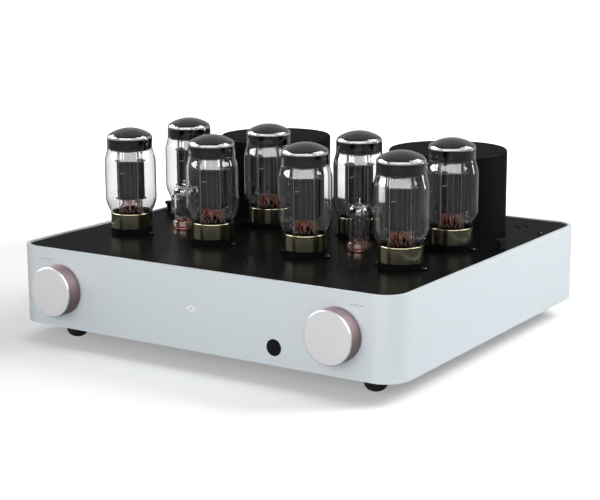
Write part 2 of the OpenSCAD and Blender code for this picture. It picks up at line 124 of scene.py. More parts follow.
def areaLamp(name, place, aim, width, depth, power, diffuse, glossy):
    data = bpy.data.lights.new(name, "AREA")
    data.energy = power
    data.shape = "RECTANGLE"
    data.size = width
    data.size_y = depth
    item = bpy.data.objects.new(name, data)
    item.location = place
    item.rotation_euler = (Vector(aim) - Vector(place)).to_track_quat("-Z", "Y").to_euler()
    bpy.context.collection.objects.link(item)
    item.visible_camera = False
    item.visible_transmission = False
    item.visible_diffuse = diffuse
    item.visible_glossy = glossy


# brightness of the white backdrop: whole for what the camera sees, straight on or through glass,
# and a share of it for reflections
def backdropShare(tree):
    path = addNode(tree, "ShaderNodeLightPath")

    def combine(operation, first, second):
        node = addNode(tree, "ShaderNodeMath", operation=operation, use_clamp=True)
        for socket, value in zip(node.inputs, (first, second)):
            if isinstance(value, float):
                socket.default_value = value
            else:
                tree.links.new(value, socket)
        return node.outputs[0]

    bounced = combine("ADD", path.outputs["Glossy Depth"], path.outputs["Diffuse Depth"])
    straight = combine("SUBTRACT", path.outputs["Is Transmission Ray"], bounced)
    shiny = combine("MULTIPLY", path.outputs["Is Glossy Ray"], studio["glossyShare"])
    return combine("MAXIMUM", combine("MAXIMUM", path.outputs["Is Camera Ray"], straight), shiny)


def makeWorld():
    world = bpy.data.worlds.new("studio")
    tree = newTree(world)
    white = (1, 1, 1, 1)
    output = addNode(tree, "ShaderNodeOutputWorld")
    room = addNode(tree, "ShaderNodeBackground", {"Color": white, "Strength": studio["worldLevel"]})
    backdrop = addNode(tree, "ShaderNodeBackground", {"Color": white, "Strength": 1})
    mix = addNode(tree, "ShaderNodeMixShader")
    linkAll(tree, (backdropShare(tree), mix.inputs[0]), (room.outputs[0], mix.inputs[1]),
            (backdrop.outputs[0], mix.inputs[2]), (mix.outputs[0], output.inputs["Surface"]))
    bpy.context.scene.world = world


# a paper floor: near the object it takes its shadow, further out it is as white as the world
def makeFloor():
    reach = studio["floorReach"]
    corners = [(-reach, -reach, 0), (reach, -reach, 0), (reach, reach, 0), (-reach, reach, 0)]
    mesh = bpy.data.meshes.new("floor")
    mesh.from_pydata(corners, [], [(0, 1, 2, 3)])
    floor = bpy.data.objects.new("floor", mesh)
    bpy.context.collection.objects.link(floor)
    material = bpy.data.materials.new("paper floor")
    tree = newTree(material)
    output = addNode(tree, "ShaderNodeOutputMaterial")
    diffuse = addNode(tree, "ShaderNodeBsdfDiffuse")
    glow = addNode(tree, "ShaderNodeEmission")
    both = addNode(tree, "ShaderNodeAddShader")
    path = addNode(tree, "ShaderNodeLightPath")
    place = addNode(tree, "ShaderNodeTexCoord")
    away = addNode(tree, "ShaderNodeVectorMath", operation="LENGTH")
    lift = addNode(tree, "ShaderNodeMath", operation="MULTIPLY")
    shade = addNode(tree, "ShaderNodeMapRange", {
        "To Min": studio["floorColor"], "To Max": studio["floorColor"] * studio["floorShare"]})
    rise = addNode(tree, "ShaderNodeMapRange", {
        "From Min": studio["shadowReach"], "From Max": studio["shadowReach"] * studio["fadeSpan"],
        "To Min": studio["floorLift"], "To Max": 1})
    linkAll(tree, (path.outputs["Is Glossy Ray"], shade.inputs["Value"]),
            (shade.outputs["Result"], diffuse.inputs["Color"]),
            (place.outputs["Object"], away.inputs[0]), (away.outputs["Value"], rise.inputs["Value"]),
            (rise.outputs["Result"], lift.inputs[0]), (backdropShare(tree), lift.inputs[1]),
            (lift.outputs[0], glow.inputs["Strength"]), (diffuse.outputs[0], both.inputs[0]),
            (glow.outputs[0], both.inputs[1]), (both.outputs[0], output.inputs["Surface"]))
    mesh.materials.append(material)


makeCamera()
makeWorld()
makeFloor()
for lamp in lamps:
    areaLamp(*lamp)
bpy.context.scene.view_settings.view_transform = "Standard"
print("camera, lamps and floor ready")


# shared effects, as node groups

def newGroup(name, kind, inputs, outputs):
    group = bpy.data.node_groups.new(name, kind)
    for label, socketKind, value in inputs:
        socket = group.interface.new_socket(name=label, in_out="INPUT",
                                            socket_type="NodeSocket" + socketKind)
        if value is not None:
            socket.default_value = value
    for label, socketKind in outputs:
        group.interface.new_socket(name=label, in_out="OUTPUT", socket_type="NodeSocket" + socketKind)
    return group, addNode(group, "NodeGroupInput"), addNode(group, "NodeGroupOutput")


# fine texture of a blasted, brushed or moulded surface, stretched as its scale says
def makeGrain():
    group, inside, outside = newGroup("fine grain", "ShaderNodeTree", [
        ("Scale", "Vector", (1, 1, 1)), ("Size", "Float", 900.0),
        ("Low Roughness", "Float", 0.3), ("High Roughness", "Float", 0.5)],
        [("Roughness", "Float"), ("Height", "Float"), ("Mask", "Float")])
    place = addNode(group, "ShaderNodeTexCoord")
    stretch = addNode(group, "ShaderNodeVectorMath", operation="MULTIPLY")
    noise = addNode(group, "ShaderNodeTexNoise", {"Detail": 3, "Roughness": 0.65})
    cloud = addNode(group, "ShaderNodeTexNoise", {"Scale": 14, "Detail": 4})
    spread = addNode(group, "ShaderNodeMapRange", {"From Min": 0.3, "From Max": 0.7})
    linkAll(group, (place.outputs["Object"], stretch.inputs[0]),
            (inside.outputs["Scale"], stretch.inputs[1]),
            (stretch.outputs[0], noise.inputs["Vector"]),
            (inside.outputs["Size"], noise.inputs["Scale"]),
            (noise.outputs["Fac"], spread.inputs["Value"]),
            (inside.outputs["Low Roughness"], spread.inputs["To Min"]),
            (inside.outputs["High Roughness"], spread.inputs["To Max"]),
            (spread.outputs["Result"], outside.inputs["Roughness"]),
            (noise.outputs["Fac"], outside.inputs["Height"]),
            (place.outputs["Object"], cloud.inputs["Vector"]),
            (cloud.outputs["Fac"], outside.inputs["Mask"]))
    return group


# settled dust, only where a surface faces up
def makeDust():
    group, inside, outside = newGroup("settled dust", "ShaderNodeTree", [
        ("Amount", "Float", 0.1), ("Speck Size", "Float", 700.0)], [("Mask", "Float")])
    place = addNode(group, "ShaderNodeTexCoord")
    shape = addNode(group, "ShaderNodeNewGeometry")
    split = addNode(group, "ShaderNodeSeparateXYZ")
    facing = addNode(group, "ShaderNodeMapRange", {"From Min": 0.5, "From Max": 0.95})
    specks = addNode(group, "ShaderNodeTexNoise", {"Detail": 6, "Roughness": 0.7})
    sharp = addNode(group, "ShaderNodeMapRange", {"From Min": 0.56, "From Max": 0.72})
    both = addNode(group, "ShaderNodeMath", operation="MULTIPLY")
    scaled = addNode(group, "ShaderNodeMath", operation="MULTIPLY")
    linkAll(group, (shape.outputs["Normal"], split.inputs[0]),
            (split.outputs["Z"], facing.inputs["Value"]),
            (place.outputs["Object"], specks.inputs["Vector"]),
            (inside.outputs["Speck Size"], specks.inputs["Scale"]),
            (specks.outputs["Fac"], sharp.inputs["Value"]),
            (facing.outputs["Result"], both.inputs[0]), (sharp.outputs["Result"], both.inputs[1]),
            (both.outputs[0], scaled.inputs[0]), (inside.outputs["Amount"], scaled.inputs[1]),
            (scaled.outputs[0], outside.inputs["Mask"]))
    return group


# rubbed edges, from how sharply the surface bends; on the tube base the same lighter edges are also a
# painted highlight
def makeEdgeWearAndSheen():
    group, inside, outside = newGroup("edge wear and sheen", "ShaderNodeTree", [
        ("Start", "Float", 0.54), ("Amount", "Float", 0.6)], [("Mask", "Float")])
    shape = addNode(group, "ShaderNodeNewGeometry")
    place = addNode(group, "ShaderNodeTexCoord")
    patches = addNode(group, "ShaderNodeTexNoise", {"Scale": 160, "Detail": 4})
    bend = addNode(group, "ShaderNodeMapRange", {"From Max": 0.62})
    broken = addNode(group, "ShaderNodeMath", operation="MULTIPLY")
    scaled = addNode(group, "ShaderNodeMath", operation="MULTIPLY")
    linkAll(group, (shape.outputs["Pointiness"], bend.inputs["Value"]),
            (inside.outputs["Start"], bend.inputs["From Min"]),
            (place.outputs["Object"], patches.inputs["Vector"]),
            (bend.outputs["Result"], broken.inputs[0]), (patches.outputs["Fac"], broken.inputs[1]),
            (broken.outputs[0], scaled.inputs[0]), (inside.outputs["Amount"], scaled.inputs[1]),
            (scaled.outputs[0], outside.inputs["Mask"]))
    return group


grainGroup = makeGrain()
dustGroup = makeDust()
wearAndSheenGroup = makeEdgeWearAndSheen()


plainSockets = {"coat": "Coat Weight", "ior": "IOR", "specular": "Specular IOR Level",
                "clear": "Transmission Weight", "glow": "Emission Strength",
                "glowColor": "Emission Color"}
greyDust = (0.35, 0.34, 0.32)


# A material is a Principled shader with its plain values on its own sockets. "grain", "dust" and
# the edge layer (worn edges, and on the tube base a painted edge highlight) place the shared groups, each
# with this finish's own values.
def finish(name, color, rough=0.4, metal=0.0, grain=None, dust=None, wearAndSheen=None, **plain):
    material = bpy.data.materials.new(name)
    material.use_nodes = True
    tree = material.node_tree
    shader = tree.nodes["Principled BSDF"]
    shader.inputs["Metallic"].default_value = metal
    shader.inputs["Roughness"].default_value = rough
    for key, value in plain.items():
        shader.inputs[plainSockets[key]].default_value = value
    source = addNode(tree, "ShaderNodeRGB")
    source.outputs[0].default_value = (*color, 1)
    current = source.outputs[0]
    if grain:
        node = addNode(tree, "ShaderNodeGroup", node_tree=grainGroup)
        for key, value in (("Scale", grain.get("scale", (1, 1, 1))), ("Size", grain["size"]),
                           ("Low Roughness", grain["low"]), ("High Roughness", grain["high"])):
            node.inputs[key].default_value = value
        bump = addNode(tree, "ShaderNodeBump", {"Strength": grain.get("bump", 0.1), "Distance": 0.0002})
        shade = addNode(tree, "ShaderNodeMix", data_type="RGBA", blend_type="MULTIPLY")
        shade.inputs["Factor"].default_value = grain.get("tone", 0.12)
        linkAll(tree, (node.outputs["Roughness"], shader.inputs["Roughness"]),
                (node.outputs["Height"], bump.inputs["Height"]),
                (bump.outputs["Normal"], shader.inputs["Normal"]),
                (current, shade.inputs["A"]), (node.outputs["Mask"], shade.inputs["B"]))
        current = shade.outputs["Result"]
    for layer, group in ((wearAndSheen, wearAndSheenGroup), (dust, dustGroup)):
        if layer:
            node = addNode(tree, "ShaderNodeGroup", node_tree=group)
            for key, value in layer.items():
                if key != "Color":
                    node.inputs[key].default_value = value
            over = addNode(tree, "ShaderNodeMix", data_type="RGBA")
            over.inputs["B"].default_value = (*layer["Color"], 1)
            linkAll(tree, (node.outputs["Mask"], over.inputs["Factor"]), (current, over.inputs["A"]))
            current = over.outputs["Result"]
    tree.links.new(current, shader.inputs["Base Color"])
    return material


finishes = {
    "band": finish("satin silver", (0.63, 0.685, 0.72), metal=0.15,
                   grain={"size": 1400, "low": 0.36, "high": 0.46, "bump": 0.05, "tone": 0.03}),
    "deck": finish("satin black enamel", (0.0045, 0.0045, 0.005), ior=1.06,
                   grain={"size": 2200, "low": 0.24, "high": 0.34, "bump": 0.04, "tone": 0.3},
                   dust={"Amount": 0.05, "Speck Size": 900.0, "Color": greyDust}),
    "can": finish("black powder coat", (0.003, 0.0032, 0.0036), specular=0.02,
                  grain={"size": 2600, "low": 0.45, "high": 0.6, "bump": 0.16, "tone": 0.2},
                  dust={"Amount": 0.03, "Speck Size": 800.0, "Color": greyDust}),
    "steel": finish("plated steel", (0.52, 0.53, 0.54), metal=1.0,
                    grain={"size": 1200, "low": 0.25, "high": 0.42, "bump": 0.05},
                    wearAndSheen={"Start": 0.53, "Amount": 0.5, "Color": (0.75, 0.75, 0.76)}),
    "blackSteel": finish("blackened steel", (0.008, 0.008, 0.009), specular=0.15,
                         grain={"size": 1200, "low": 0.2, "high": 0.3, "bump": 0.04},
                         wearAndSheen={"Start": 0.53, "Amount": 0.2, "Color": (0.06, 0.06, 0.06)}),
    "socketBlack": finish("matt socket moulding", (0.004, 0.004, 0.004), rough=0.5, ior=1.05),
    "blackPart": finish("black moulding", (0.003, 0.003, 0.003), specular=0.1,
                        grain={"size": 1800, "low": 0.22, "high": 0.34, "bump": 0.05, "tone": 0.3},
                        wearAndSheen={"Start": 0.54, "Amount": 0.25, "Color": (0.08, 0.08, 0.08)}),
    "rubber": finish("black rubber", (0.011, 0.011, 0.011),
                     grain={"size": 1600, "low": 0.6, "high": 0.8, "bump": 0.15, "tone": 0.3},
                     dust={"Amount": 0.1, "Speck Size": 600.0, "Color": greyDust}),
    "panel": finish("matt black panel", (0.016, 0.016, 0.017),
                    grain={"size": 1900, "low": 0.42, "high": 0.55, "bump": 0.1, "tone": 0.3}),
    "glass": finish("blown glass", (0.985, 0.992, 0.992), rough=0.0, clear=1.0, ior=1.47),
    "getter": finish("getter mirror", (0.003, 0.003, 0.0035), rough=0.08, specular=0.3),
    # the pale band round the getter film's curl is a painted highlight ring, not a thinner getter
    "getterHighlight": finish("painted getter highlight", (0.62, 0.635, 0.65), rough=0.25, metal=0.5),
    "silverGetter": finish("bright getter", (0.75, 0.76, 0.78), rough=0.12, metal=1.0),
    # the base's lighter edges are partly worn bronze and partly a painted highlight along its rims and
    # beads
    "tubeBase": finish("bronzed base", (0.155, 0.148, 0.098), metal=1.0,
                       grain={"size": 900, "scale": (1, 1, 4), "low": 0.16, "high": 0.24, "bump": 0.02},
                       wearAndSheen={"Start": 0.53, "Amount": 0.7, "Color": (0.72, 0.68, 0.46)}),
    "anode": finish("carbonised plate", (0.011, 0.0115, 0.0145), specular=0.35,
                    grain={"size": 1500, "low": 0.38, "high": 0.55, "bump": 0.12, "tone": 0.3}),
    "greyPlate": finish("grey plate", (0.07, 0.07, 0.074), metal=0.4,
                        grain={"size": 1500, "low": 0.35, "high": 0.5, "bump": 0.08, "tone": 0.3}),
    "mica": finish("mica sheet", (0.16, 0.15, 0.155), specular=0.5,
                   grain={"size": 500, "low": 0.18, "high": 0.35, "bump": 0.1, "tone": 0.4}),
    "tray": finish("getter tray", (0.17, 0.165, 0.18), metal=0.3,
                   grain={"size": 900, "low": 0.4, "high": 0.55, "bump": 0.05, "tone": 0.3}),
    "nickel": finish("nickel wire", (0.62, 0.60, 0.60), metal=1.0,
                     grain={"size": 1500, "low": 0.2, "high": 0.35, "bump": 0.04}),
    "copper": finish("copper wire", (0.58, 0.15, 0.09), metal=0.55,
                     grain={"size": 1500, "low": 0.2, "high": 0.35, "bump": 0.04}),
    # the heater finish glows: a painted glow on the heater wires and the plate slots, not a lamp
    "heater": finish("painted heater glow", (0.75, 0.42, 0.36), rough=0.5, glow=0.22,
                     glowColor=(1.0, 0.42, 0.3, 1)),
    "rose": finish("rose anodised ring", (0.17, 0.118, 0.128), metal=0.6,
                   grain={"size": 260, "scale": (1, 14, 1), "low": 0.45, "high": 0.58, "bump": 0.05}),
    "pale": finish("pale turned face", (0.66, 0.655, 0.67), metal=0.45,
                   grain={"size": 900, "low": 0.38, "high": 0.5, "bump": 0.03, "tone": 0.06}),
    "bright": finish("bright chamfer", (0.42, 0.40, 0.41), metal=0.6,
                     grain={"size": 900, "low": 0.3, "high": 0.4, "bump": 0.02, "tone": 0.05}),
    "collar": finish("rose copper collar", (0.93, 0.62, 0.55), metal=0.9,
                     grain={"size": 900, "low": 0.14, "high": 0.24, "bump": 0.02},
                     wearAndSheen={"Start": 0.54, "Amount": 0.5, "Color": (0.95, 0.8, 0.75)}),
    "window": finish("infrared filter", (0.006, 0.006, 0.008), specular=0.5,
                     grain={"size": 300, "low": 0.06, "high": 0.12, "bump": 0.01, "tone": 0.1}),
    "gold": finish("gold plating", (0.83, 0.62, 0.28), metal=1.0,
                   grain={"size": 1200, "low": 0.15, "high": 0.28, "bump": 0.04},
                   wearAndSheen={"Start": 0.54, "Amount": 0.4, "Color": (0.95, 0.8, 0.5)}),
    "board": finish("green laminate", (0.03, 0.13, 0.06),
                    grain={"size": 800, "low": 0.35, "high": 0.5, "bump": 0.05, "tone": 0.3}),
    "sleeve": finish("capacitor sleeve", (0.02, 0.035, 0.09), coat=0.4,
                     grain={"size": 700, "low": 0.28, "high": 0.4, "bump": 0.03, "tone": 0.2}),
    "winding": finish("varnished winding", (0.45, 0.18, 0.07), metal=0.6, coat=0.5,
                      grain={"size": 900, "scale": (1, 1, 0.1), "low": 0.25, "high": 0.4, "bump": 0.3}),
    "print": finish("white mark", (0.93, 0.94, 0.95), rough=0.45,
                    grain={"size": 1500, "low": 0.4, "high": 0.5, "bump": 0.02, "tone": 0.05}),
    "ink": finish("grey mark", (0.40, 0.45, 0.48), rough=0.45,
                  grain={"size": 1500, "low": 0.4, "high": 0.5, "bump": 0.02, "tone": 0.1}),
    "redPart": finish("red moulding", (0.42, 0.015, 0.012),
                      grain={"size": 1500, "low": 0.25, "high": 0.38, "bump": 0.05, "tone": 0.2},
                      wearAndSheen={"Start": 0.54, "Amount": 0.25, "Color": (0.6, 0.15, 0.12)}),
    "whitePart": finish("white insulator", (0.72, 0.72, 0.69),
                        grain={"size": 1500, "low": 0.3, "high": 0.42, "bump": 0.04, "tone": 0.1}),
}
print("finishes ready:", len(finishes))


# mesh helpers

# a bevel hands back its corners in an order that changes from run to run, so a mesh is put in order
def setOrder(items, place):
    for index, item in enumerate(sorted(items, key=lambda i: [round(c, 7) for c in place(i)])):
        item.index = index
    items.sort()


# working geometry as a mesh, with its faces pointing outwards
def toMesh(name, bm, fixNormals=True):
    if fixNormals:
        bmesh.ops.recalc_face_normals(bm, faces=bm.faces)
    setOrder(bm.verts, lambda vert: vert.co)
    setOrder(bm.faces, lambda face: face.calc_center_median())
    mesh = bpy.data.meshes.new(name)
    bm.to_mesh(mesh)
    bm.free()
    return mesh


def newPiece(name, bm, materials, body, replaced=(), smooth=35, fixNormals=True):
    return meshPiece(name, toMesh(name, bm, fixNormals), materials, body, replaced, smooth)


def meshPiece(name, mesh, materials, body, replaced=(), smooth=35):
    for item in materials:
        mesh.materials.append(finishes[item])
    mesh.shade_smooth()
    mesh.set_sharp_from_angle(angle=math.radians(smooth))
    piece = bpy.data.objects.new(name, mesh)
    bpy.context.collection.objects.link(piece)
    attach(piece, body)
    if replaced:
        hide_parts(*replaced)
    return piece


# points of a circle in the plan, or of an oval when "squash" isn't one
def circle(radius, count, squash=1):
    angles = [2 * math.pi * k / count for k in range(count)]
    return [(radius * math.cos(a), radius * squash * math.sin(a)) for a in angles]


# faces between neighbouring rings of vertices; a ring may be a single vertex
def bridge(bm, rings, closed=False, material=0):
    pairs = list(zip(rings, rings[1:]))
    if closed:
        pairs.append((rings[-1], rings[0]))
    for low, high in pairs:
        steps = max(len(low), len(high))
        for i in range(steps):
            j = (i + 1) % steps
            corners = [low[i % len(low)], low[j % len(low)], high[j % len(high)], high[i % len(high)]]
            unique = list(dict.fromkeys(corners))
            if len(unique) > 2:
                bm.faces.new(unique).material_index = material


# turns an outline of (radius, height) points about the upright axis
def turn(bm, outline, steps=64, material=0, closed=False):
    rings = []
    for radius, height in outline:
        spots = [(0, 0)] if radius < 1e-7 else circle(radius, steps)
        rings.append([bm.verts.new((x, y, height)) for x, y in spots])
    bridge(bm, rings, closed, material)


# rounds the corners of an outline with short arcs
def roundOutline(points, radius, steps=4):
    out = []
    for i, point in enumerate(points):
        if i in (0, len(points) - 1):
            out.append(point)
            continue
        here = Vector(point)
        before = Vector(points[i - 1]) - here
        after = Vector(points[i + 1]) - here
        reach = min(radius, before.length * 0.45, after.length * 0.45)
        first = here + before.normalized() * reach
        last = here + after.normalized() * reach
        for k in range(steps + 1):
            t = k / steps
            spot = first * (1 - t) ** 2 + here * 2 * t * (1 - t) + last * t ** 2
            out.append((spot.x, spot.y))
    return out


# a round wire along a list of points, with closed ends
def wire(bm, points, radius, sides=8, material=0):
    points = [Vector(p) for p in points]
    rings = []
    for i, point in enumerate(points):
        ahead = points[min(i + 1, len(points) - 1)] - points[max(i - 1, 0)]
        turnTo = ahead.to_track_quat("Z", "Y")
        rings.append([bm.verts.new(point + turnTo @ Vector((x, y, 0))) for x, y in circle(radius, sides)])
    bridge(bm, rings, material=material)
    bm.faces.new(list(reversed(rings[0]))).material_index = material
    bm.faces.new(rings[-1]).material_index = material


# a closed solid that follows an outline in the plan, from one height to another
def extrude(bm, outline, low, high, material=0):
    rings = [[bm.verts.new((x, y, z)) for x, y in outline] for z in (low, high)]
    bridge(bm, rings, material=material)
    bm.faces.new(list(reversed(rings[0]))).material_index = material
    bm.faces.new(rings[1]).material_index = material


def block(bm, low, high, bevel=0.0, material=0):
    made = bmesh.ops.create_cube(bm, size=1)
    size = Vector(high) - Vector(low)
    middle = (Vector(high) + Vector(low)) / 2
    for vert in made["verts"]:
        vert.co = Vector((vert.co.x * size.x, vert.co.y * size.y, vert.co.z * size.z)) + middle
    faces = list(dict.fromkeys(f for v in made["verts"] for f in v.link_faces))
    for face in faces:
        face.material_index = material
    if bevel:
        edges = list(dict.fromkeys(e for f in faces for e in f.edges))
        bmesh.ops.bevel(bm, geom=edges, offset=bevel, segments=2, profile=0.6, affect="EDGES",
                        material=material)


# geometry nodes: one tree places a part round a circle, another at the points of a mesh

def makeRingTree():
    tree, inside, outside = newGroup("parts in a ring", "GeometryNodeTree", [
        ("Geometry", "Geometry", None), ("Part", "Object", None), ("Count", "Int", 8),
        ("Radius", "Float", 0.01), ("Start", "Float", 0.0), ("Centre", "Vector", (0, 0, 0)),
        ("Finish", "Material", None)], [("Geometry", "Geometry")])
    line = addNode(tree, "GeometryNodeMeshLine", {"Offset": (0, 0, 0)}, mode="OFFSET")
    index = addNode(tree, "GeometryNodeInputIndex")
    portion = addNode(tree, "ShaderNodeMath", operation="DIVIDE")
    angle = addNode(tree, "ShaderNodeMath", {1: 2 * math.pi}, operation="MULTIPLY_ADD")
    spin = addNode(tree, "ShaderNodeCombineXYZ")
    part = addNode(tree, "GeometryNodeObjectInfo", transform_space="ORIGINAL")
    outward = addNode(tree, "ShaderNodeCombineXYZ")
    shifted = addNode(tree, "GeometryNodeTransform")
    place = addNode(tree, "GeometryNodeInstanceOnPoints")
    centred = addNode(tree, "GeometryNodeTransform")
    real = addNode(tree, "GeometryNodeRealizeInstances")
    paint = addNode(tree, "GeometryNodeSetMaterial")
    linkAll(tree, (inside.outputs["Count"], line.inputs["Count"]), (index.outputs[0], portion.inputs[0]),
            (inside.outputs["Count"], portion.inputs[1]), (portion.outputs[0], angle.inputs[0]),
            (inside.outputs["Start"], angle.inputs[2]), (angle.outputs[0], spin.inputs["Z"]),
            (inside.outputs["Part"], part.inputs["Object"]),
            (inside.outputs["Radius"], outward.inputs["X"]),
            (part.outputs["Geometry"], shifted.inputs["Geometry"]),
            (outward.outputs[0], shifted.inputs["Translation"]),
            (line.outputs["Mesh"], place.inputs["Points"]),
            (shifted.outputs["Geometry"], place.inputs["Instance"]),
            (spin.outputs[0], place.inputs["Rotation"]),
            (place.outputs["Instances"], centred.inputs["Geometry"]),
            (inside.outputs["Centre"], centred.inputs["Translation"]),
            (centred.outputs["Geometry"], real.inputs["Geometry"]),
            (real.outputs["Geometry"], paint.inputs["Geometry"]),
            (inside.outputs["Finish"], paint.inputs["Material"]),
            (paint.outputs["Geometry"], outside.inputs["Geometry"]))
    return tree


def makePointTree():
    tree, inside, outside = newGroup("parts at points", "GeometryNodeTree", [
        ("Geometry", "Geometry", None), ("Part", "Object", None), ("Turn Range", "Float", 6.28),
        ("Seed", "Int", 3), ("Finish", "Material", None)], [("Geometry", "Geometry")])
    part = addNode(tree, "GeometryNodeObjectInfo", transform_space="ORIGINAL")
    facing = addNode(tree, "GeometryNodeInputNamedAttribute", {"Name": "facing"},
                     data_type="FLOAT_VECTOR")
    align = addNode(tree, "FunctionNodeAlignRotationToVector", axis="Z")
    chance = addNode(tree, "FunctionNodeRandomValue", data_type="FLOAT")
    spin = addNode(tree, "ShaderNodeCombineXYZ")
    turned = addNode(tree, "FunctionNodeRotateRotation", rotation_space="LOCAL")
    place = addNode(tree, "GeometryNodeInstanceOnPoints")
    real = addNode(tree, "GeometryNodeRealizeInstances")
    paint = addNode(tree, "GeometryNodeSetMaterial")
    highest = [s for s in chance.inputs if s.name == "Max" and s.enabled][0]
    drawn = [s for s in chance.outputs if s.enabled][0]
    linkAll(tree, (inside.outputs["Part"], part.inputs["Object"]),
            (inside.outputs["Geometry"], place.inputs["Points"]),
            (part.outputs["Geometry"], place.inputs["Instance"]),
            (facing.outputs["Attribute"], align.inputs["Vector"]),
            (align.outputs[0], turned.inputs["Rotation"]),
            (inside.outputs["Turn Range"], highest), (inside.outputs["Seed"], chance.inputs["Seed"]),
            (drawn, spin.inputs["Z"]), (spin.outputs[0], turned.inputs["Rotate By"]),
            (turned.outputs[0], place.inputs["Rotation"]),
            (place.outputs["Instances"], real.inputs["Geometry"]),
            (real.outputs["Geometry"], paint.inputs["Geometry"]),
            (inside.outputs["Finish"], paint.inputs["Material"]),
            (paint.outputs["Geometry"], outside.inputs["Geometry"]))
    return tree


ringTree = makeRingTree()
pointTree = makePointTree()


# runs a tree on a carrier mesh and hands back the plain mesh that it makes
def growMesh(name, tree, carrier, values):
    item = bpy.data.objects.new(name, carrier)
    bpy.context.collection.objects.link(item)
    modifier = item.modifiers.new("nodes", "NODES")
    modifier.node_group = tree
    for socket in tree.interface.items_tree:
        if socket.item_type == "SOCKET" and socket.in_out == "INPUT" and socket.name in values:
            modifier[socket.identifier] = values[socket.name]
    bpy.context.view_layer.update()
    ready = item.evaluated_get(bpy.context.evaluated_depsgraph_get())
    mesh = bpy.data.meshes.new_from_object(ready)
    item.modifiers.remove(modifier)
    bpy.data.objects.remove(item)
    return mesh


def partObject(name, build):
    bm = bmesh.new()
    build(bm)
    return bpy.data.objects.new(name, toMesh(name, bm))


def ringMesh(name, part, count, radius, material, start=0.0, centre=(0, 0, 0)):
    carrier = bpy.data.meshes.new(name + " carrier")
    return growMesh(name, ringTree, carrier, {
        "Part": part, "Count": count, "Radius": radius, "Start": start, "Centre": centre,
        "Finish": finishes[material]})


def pointMesh(name, part, spots, material, turnRange=6.28, seed=3):
    carrier = bpy.data.meshes.new(name + " carrier")
    carrier.from_pydata([spot for spot, _ in spots], [], [])
    facing = carrier.attributes.new("facing", "FLOAT_VECTOR", "POINT")
    for i, (_, direction) in enumerate(spots):
        facing.data[i].vector = direction
    return growMesh(name, pointTree, carrier, {
        "Part": part, "Turn Range": turnRange, "Seed": seed, "Finish": finishes[material]})


def joinMesh(bm, part):
    mesh = toMesh("part", part, False)
    bm.from_mesh(mesh)
    bpy.data.meshes.remove(mesh)


# adds a grown mesh to working geometry, with one place in the list of materials
def gather(bm, mesh, material):
    before = set(bm.faces)
    bm.from_mesh(mesh)
    for face in bm.faces:
        if face not in before:
            face.material_index = material


print("geometry node trees ready")


# power tubes

tube = {"glassWall": 0.0008, "widest": 0.0265, "neck": 0.0235, "foot": 0.02, "footLow": 0.0166,
        "flareLow": 0.0214, "flareHigh": 0.0379, "shoulderLow": 0.0745, "shoulderHigh": 0.0895,
        "crownLean": 58, "crownCurl": 0.006, "filmLow": 0.0886, "filmGap": 0.00012,
        "filmThick": 0.0003, "filmFlat": 0.012, "highlightBelow": 0.0016, "highlightAbove": 0.0007,
        "steps": 72}


# radius and height of the bulb's outer skin, from its foot to its crown
def bulbOutline(height):
    out = [(tube["foot"], tube["footLow"]), (tube["foot"], tube["flareLow"])]
    foot = tube["foot"] + 0.0008
    for k in range(13):
        a = math.radians(4 + 86 * k / 12)
        out.append((foot + (tube["widest"] - foot) * math.sin(a),
                    tube["flareLow"] + (tube["flareHigh"] - tube["flareLow"]) * k / 12))
    for k in range(1, 17):
        t = k / 16
        blend = (1 + math.cos(math.pi * t)) / 2
        out.append((tube["neck"] + (tube["widest"] - tube["neck"]) * blend,
                    tube["shoulderLow"] + (tube["shoulderHigh"] - tube["shoulderLow"]) * t))
    lean, curl, neck = math.radians(tube["crownLean"]), tube["crownCurl"], tube["neck"]
    crown = (neck - curl * (1 - math.cos(lean))) / math.cos(lean)
    wallTop = height - crown * (1 - math.sin(lean)) - curl * math.sin(lean)
    for k in range(9):                                     # the tight curl above the neck
        a = lean * k / 8
        out.append((neck - curl + curl * math.cos(a), wallTop + curl * math.sin(a)))
    for k in range(1, 14):                                 # the low crown
        a = lean + (math.pi / 2 - lean) * k / 13
        out.append((crown * math.cos(a) if k < 13 else 0.0, height - crown + crown * math.sin(a)))
    return out


# the same outline moved in by the glass's thickness, measured square to the skin
def inset(outline, depth):
    out = []
    for i, (radius, height) in enumerate(outline):
        before = Vector(outline[max(i - 1, 0)])
        after = Vector(outline[min(i + 1, len(outline) - 1)])
        along = (after - before).normalized()
        inward = Vector((-along.y, along.x))
        spot = Vector((radius, height)) + inward * depth
        out.append((max(spot.x, 0.0), spot.y))
    out[-1] = (0.0, outline[-1][1] - depth)
    out[0] = (outline[0][0] - depth, outline[0][1])
    return out


def bulbMesh():
    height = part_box("power_tube_1_glass")[1][2] - bandTop - 0.00005
    outer = bulbOutline(height)
    inner = inset(outer, tube["glassWall"])
    bm = bmesh.new()
    turn(bm, outer + list(reversed(inner)), steps=tube["steps"], closed=True)
    return toMesh("bulb", bm), inner


def filmMesh(inner):
    skin = inset(inner, tube["filmGap"])
    thick = tube["filmThick"]
    curl = next(z for r, z in skin if z > tube["shoulderHigh"] + 0.003
                and r < tube["neck"] - tube["glassWall"] - 0.0004)
    film = [(r, z) for r, z in skin if z > tube["filmLow"] + 0.0015]
    film = [(film[0][0], tube["filmLow"])] + film
    back = [(max(r - thick, 0.0), z - (thick if r < tube["filmFlat"] else 0)) for r, z in film]
    bm = bmesh.new()
    turn(bm, film + list(reversed(back)), steps=tube["steps"], closed=True)
    for face in bm.faces:                                  # a pale band of the film round the curl is a painted highlight ring
        if curl - tube["highlightBelow"] < face.calc_center_median().z < curl + tube["highlightAbove"]:
            face.material_index = 1
    return toMesh("film", bm)


# the metal base, its eight pins and its key
octal = {"low": 0.0052, "high": 0.0214, "wall": 0.0011, "step": 0.0115, "round": 0.0007,
         "bead": 0.0004, "pins": 8, "pinCircle": 0.00873, "pin": 0.00119, "pinLong": 0.011,
         "keyWide": 0.0039, "keyLong": 0.013}


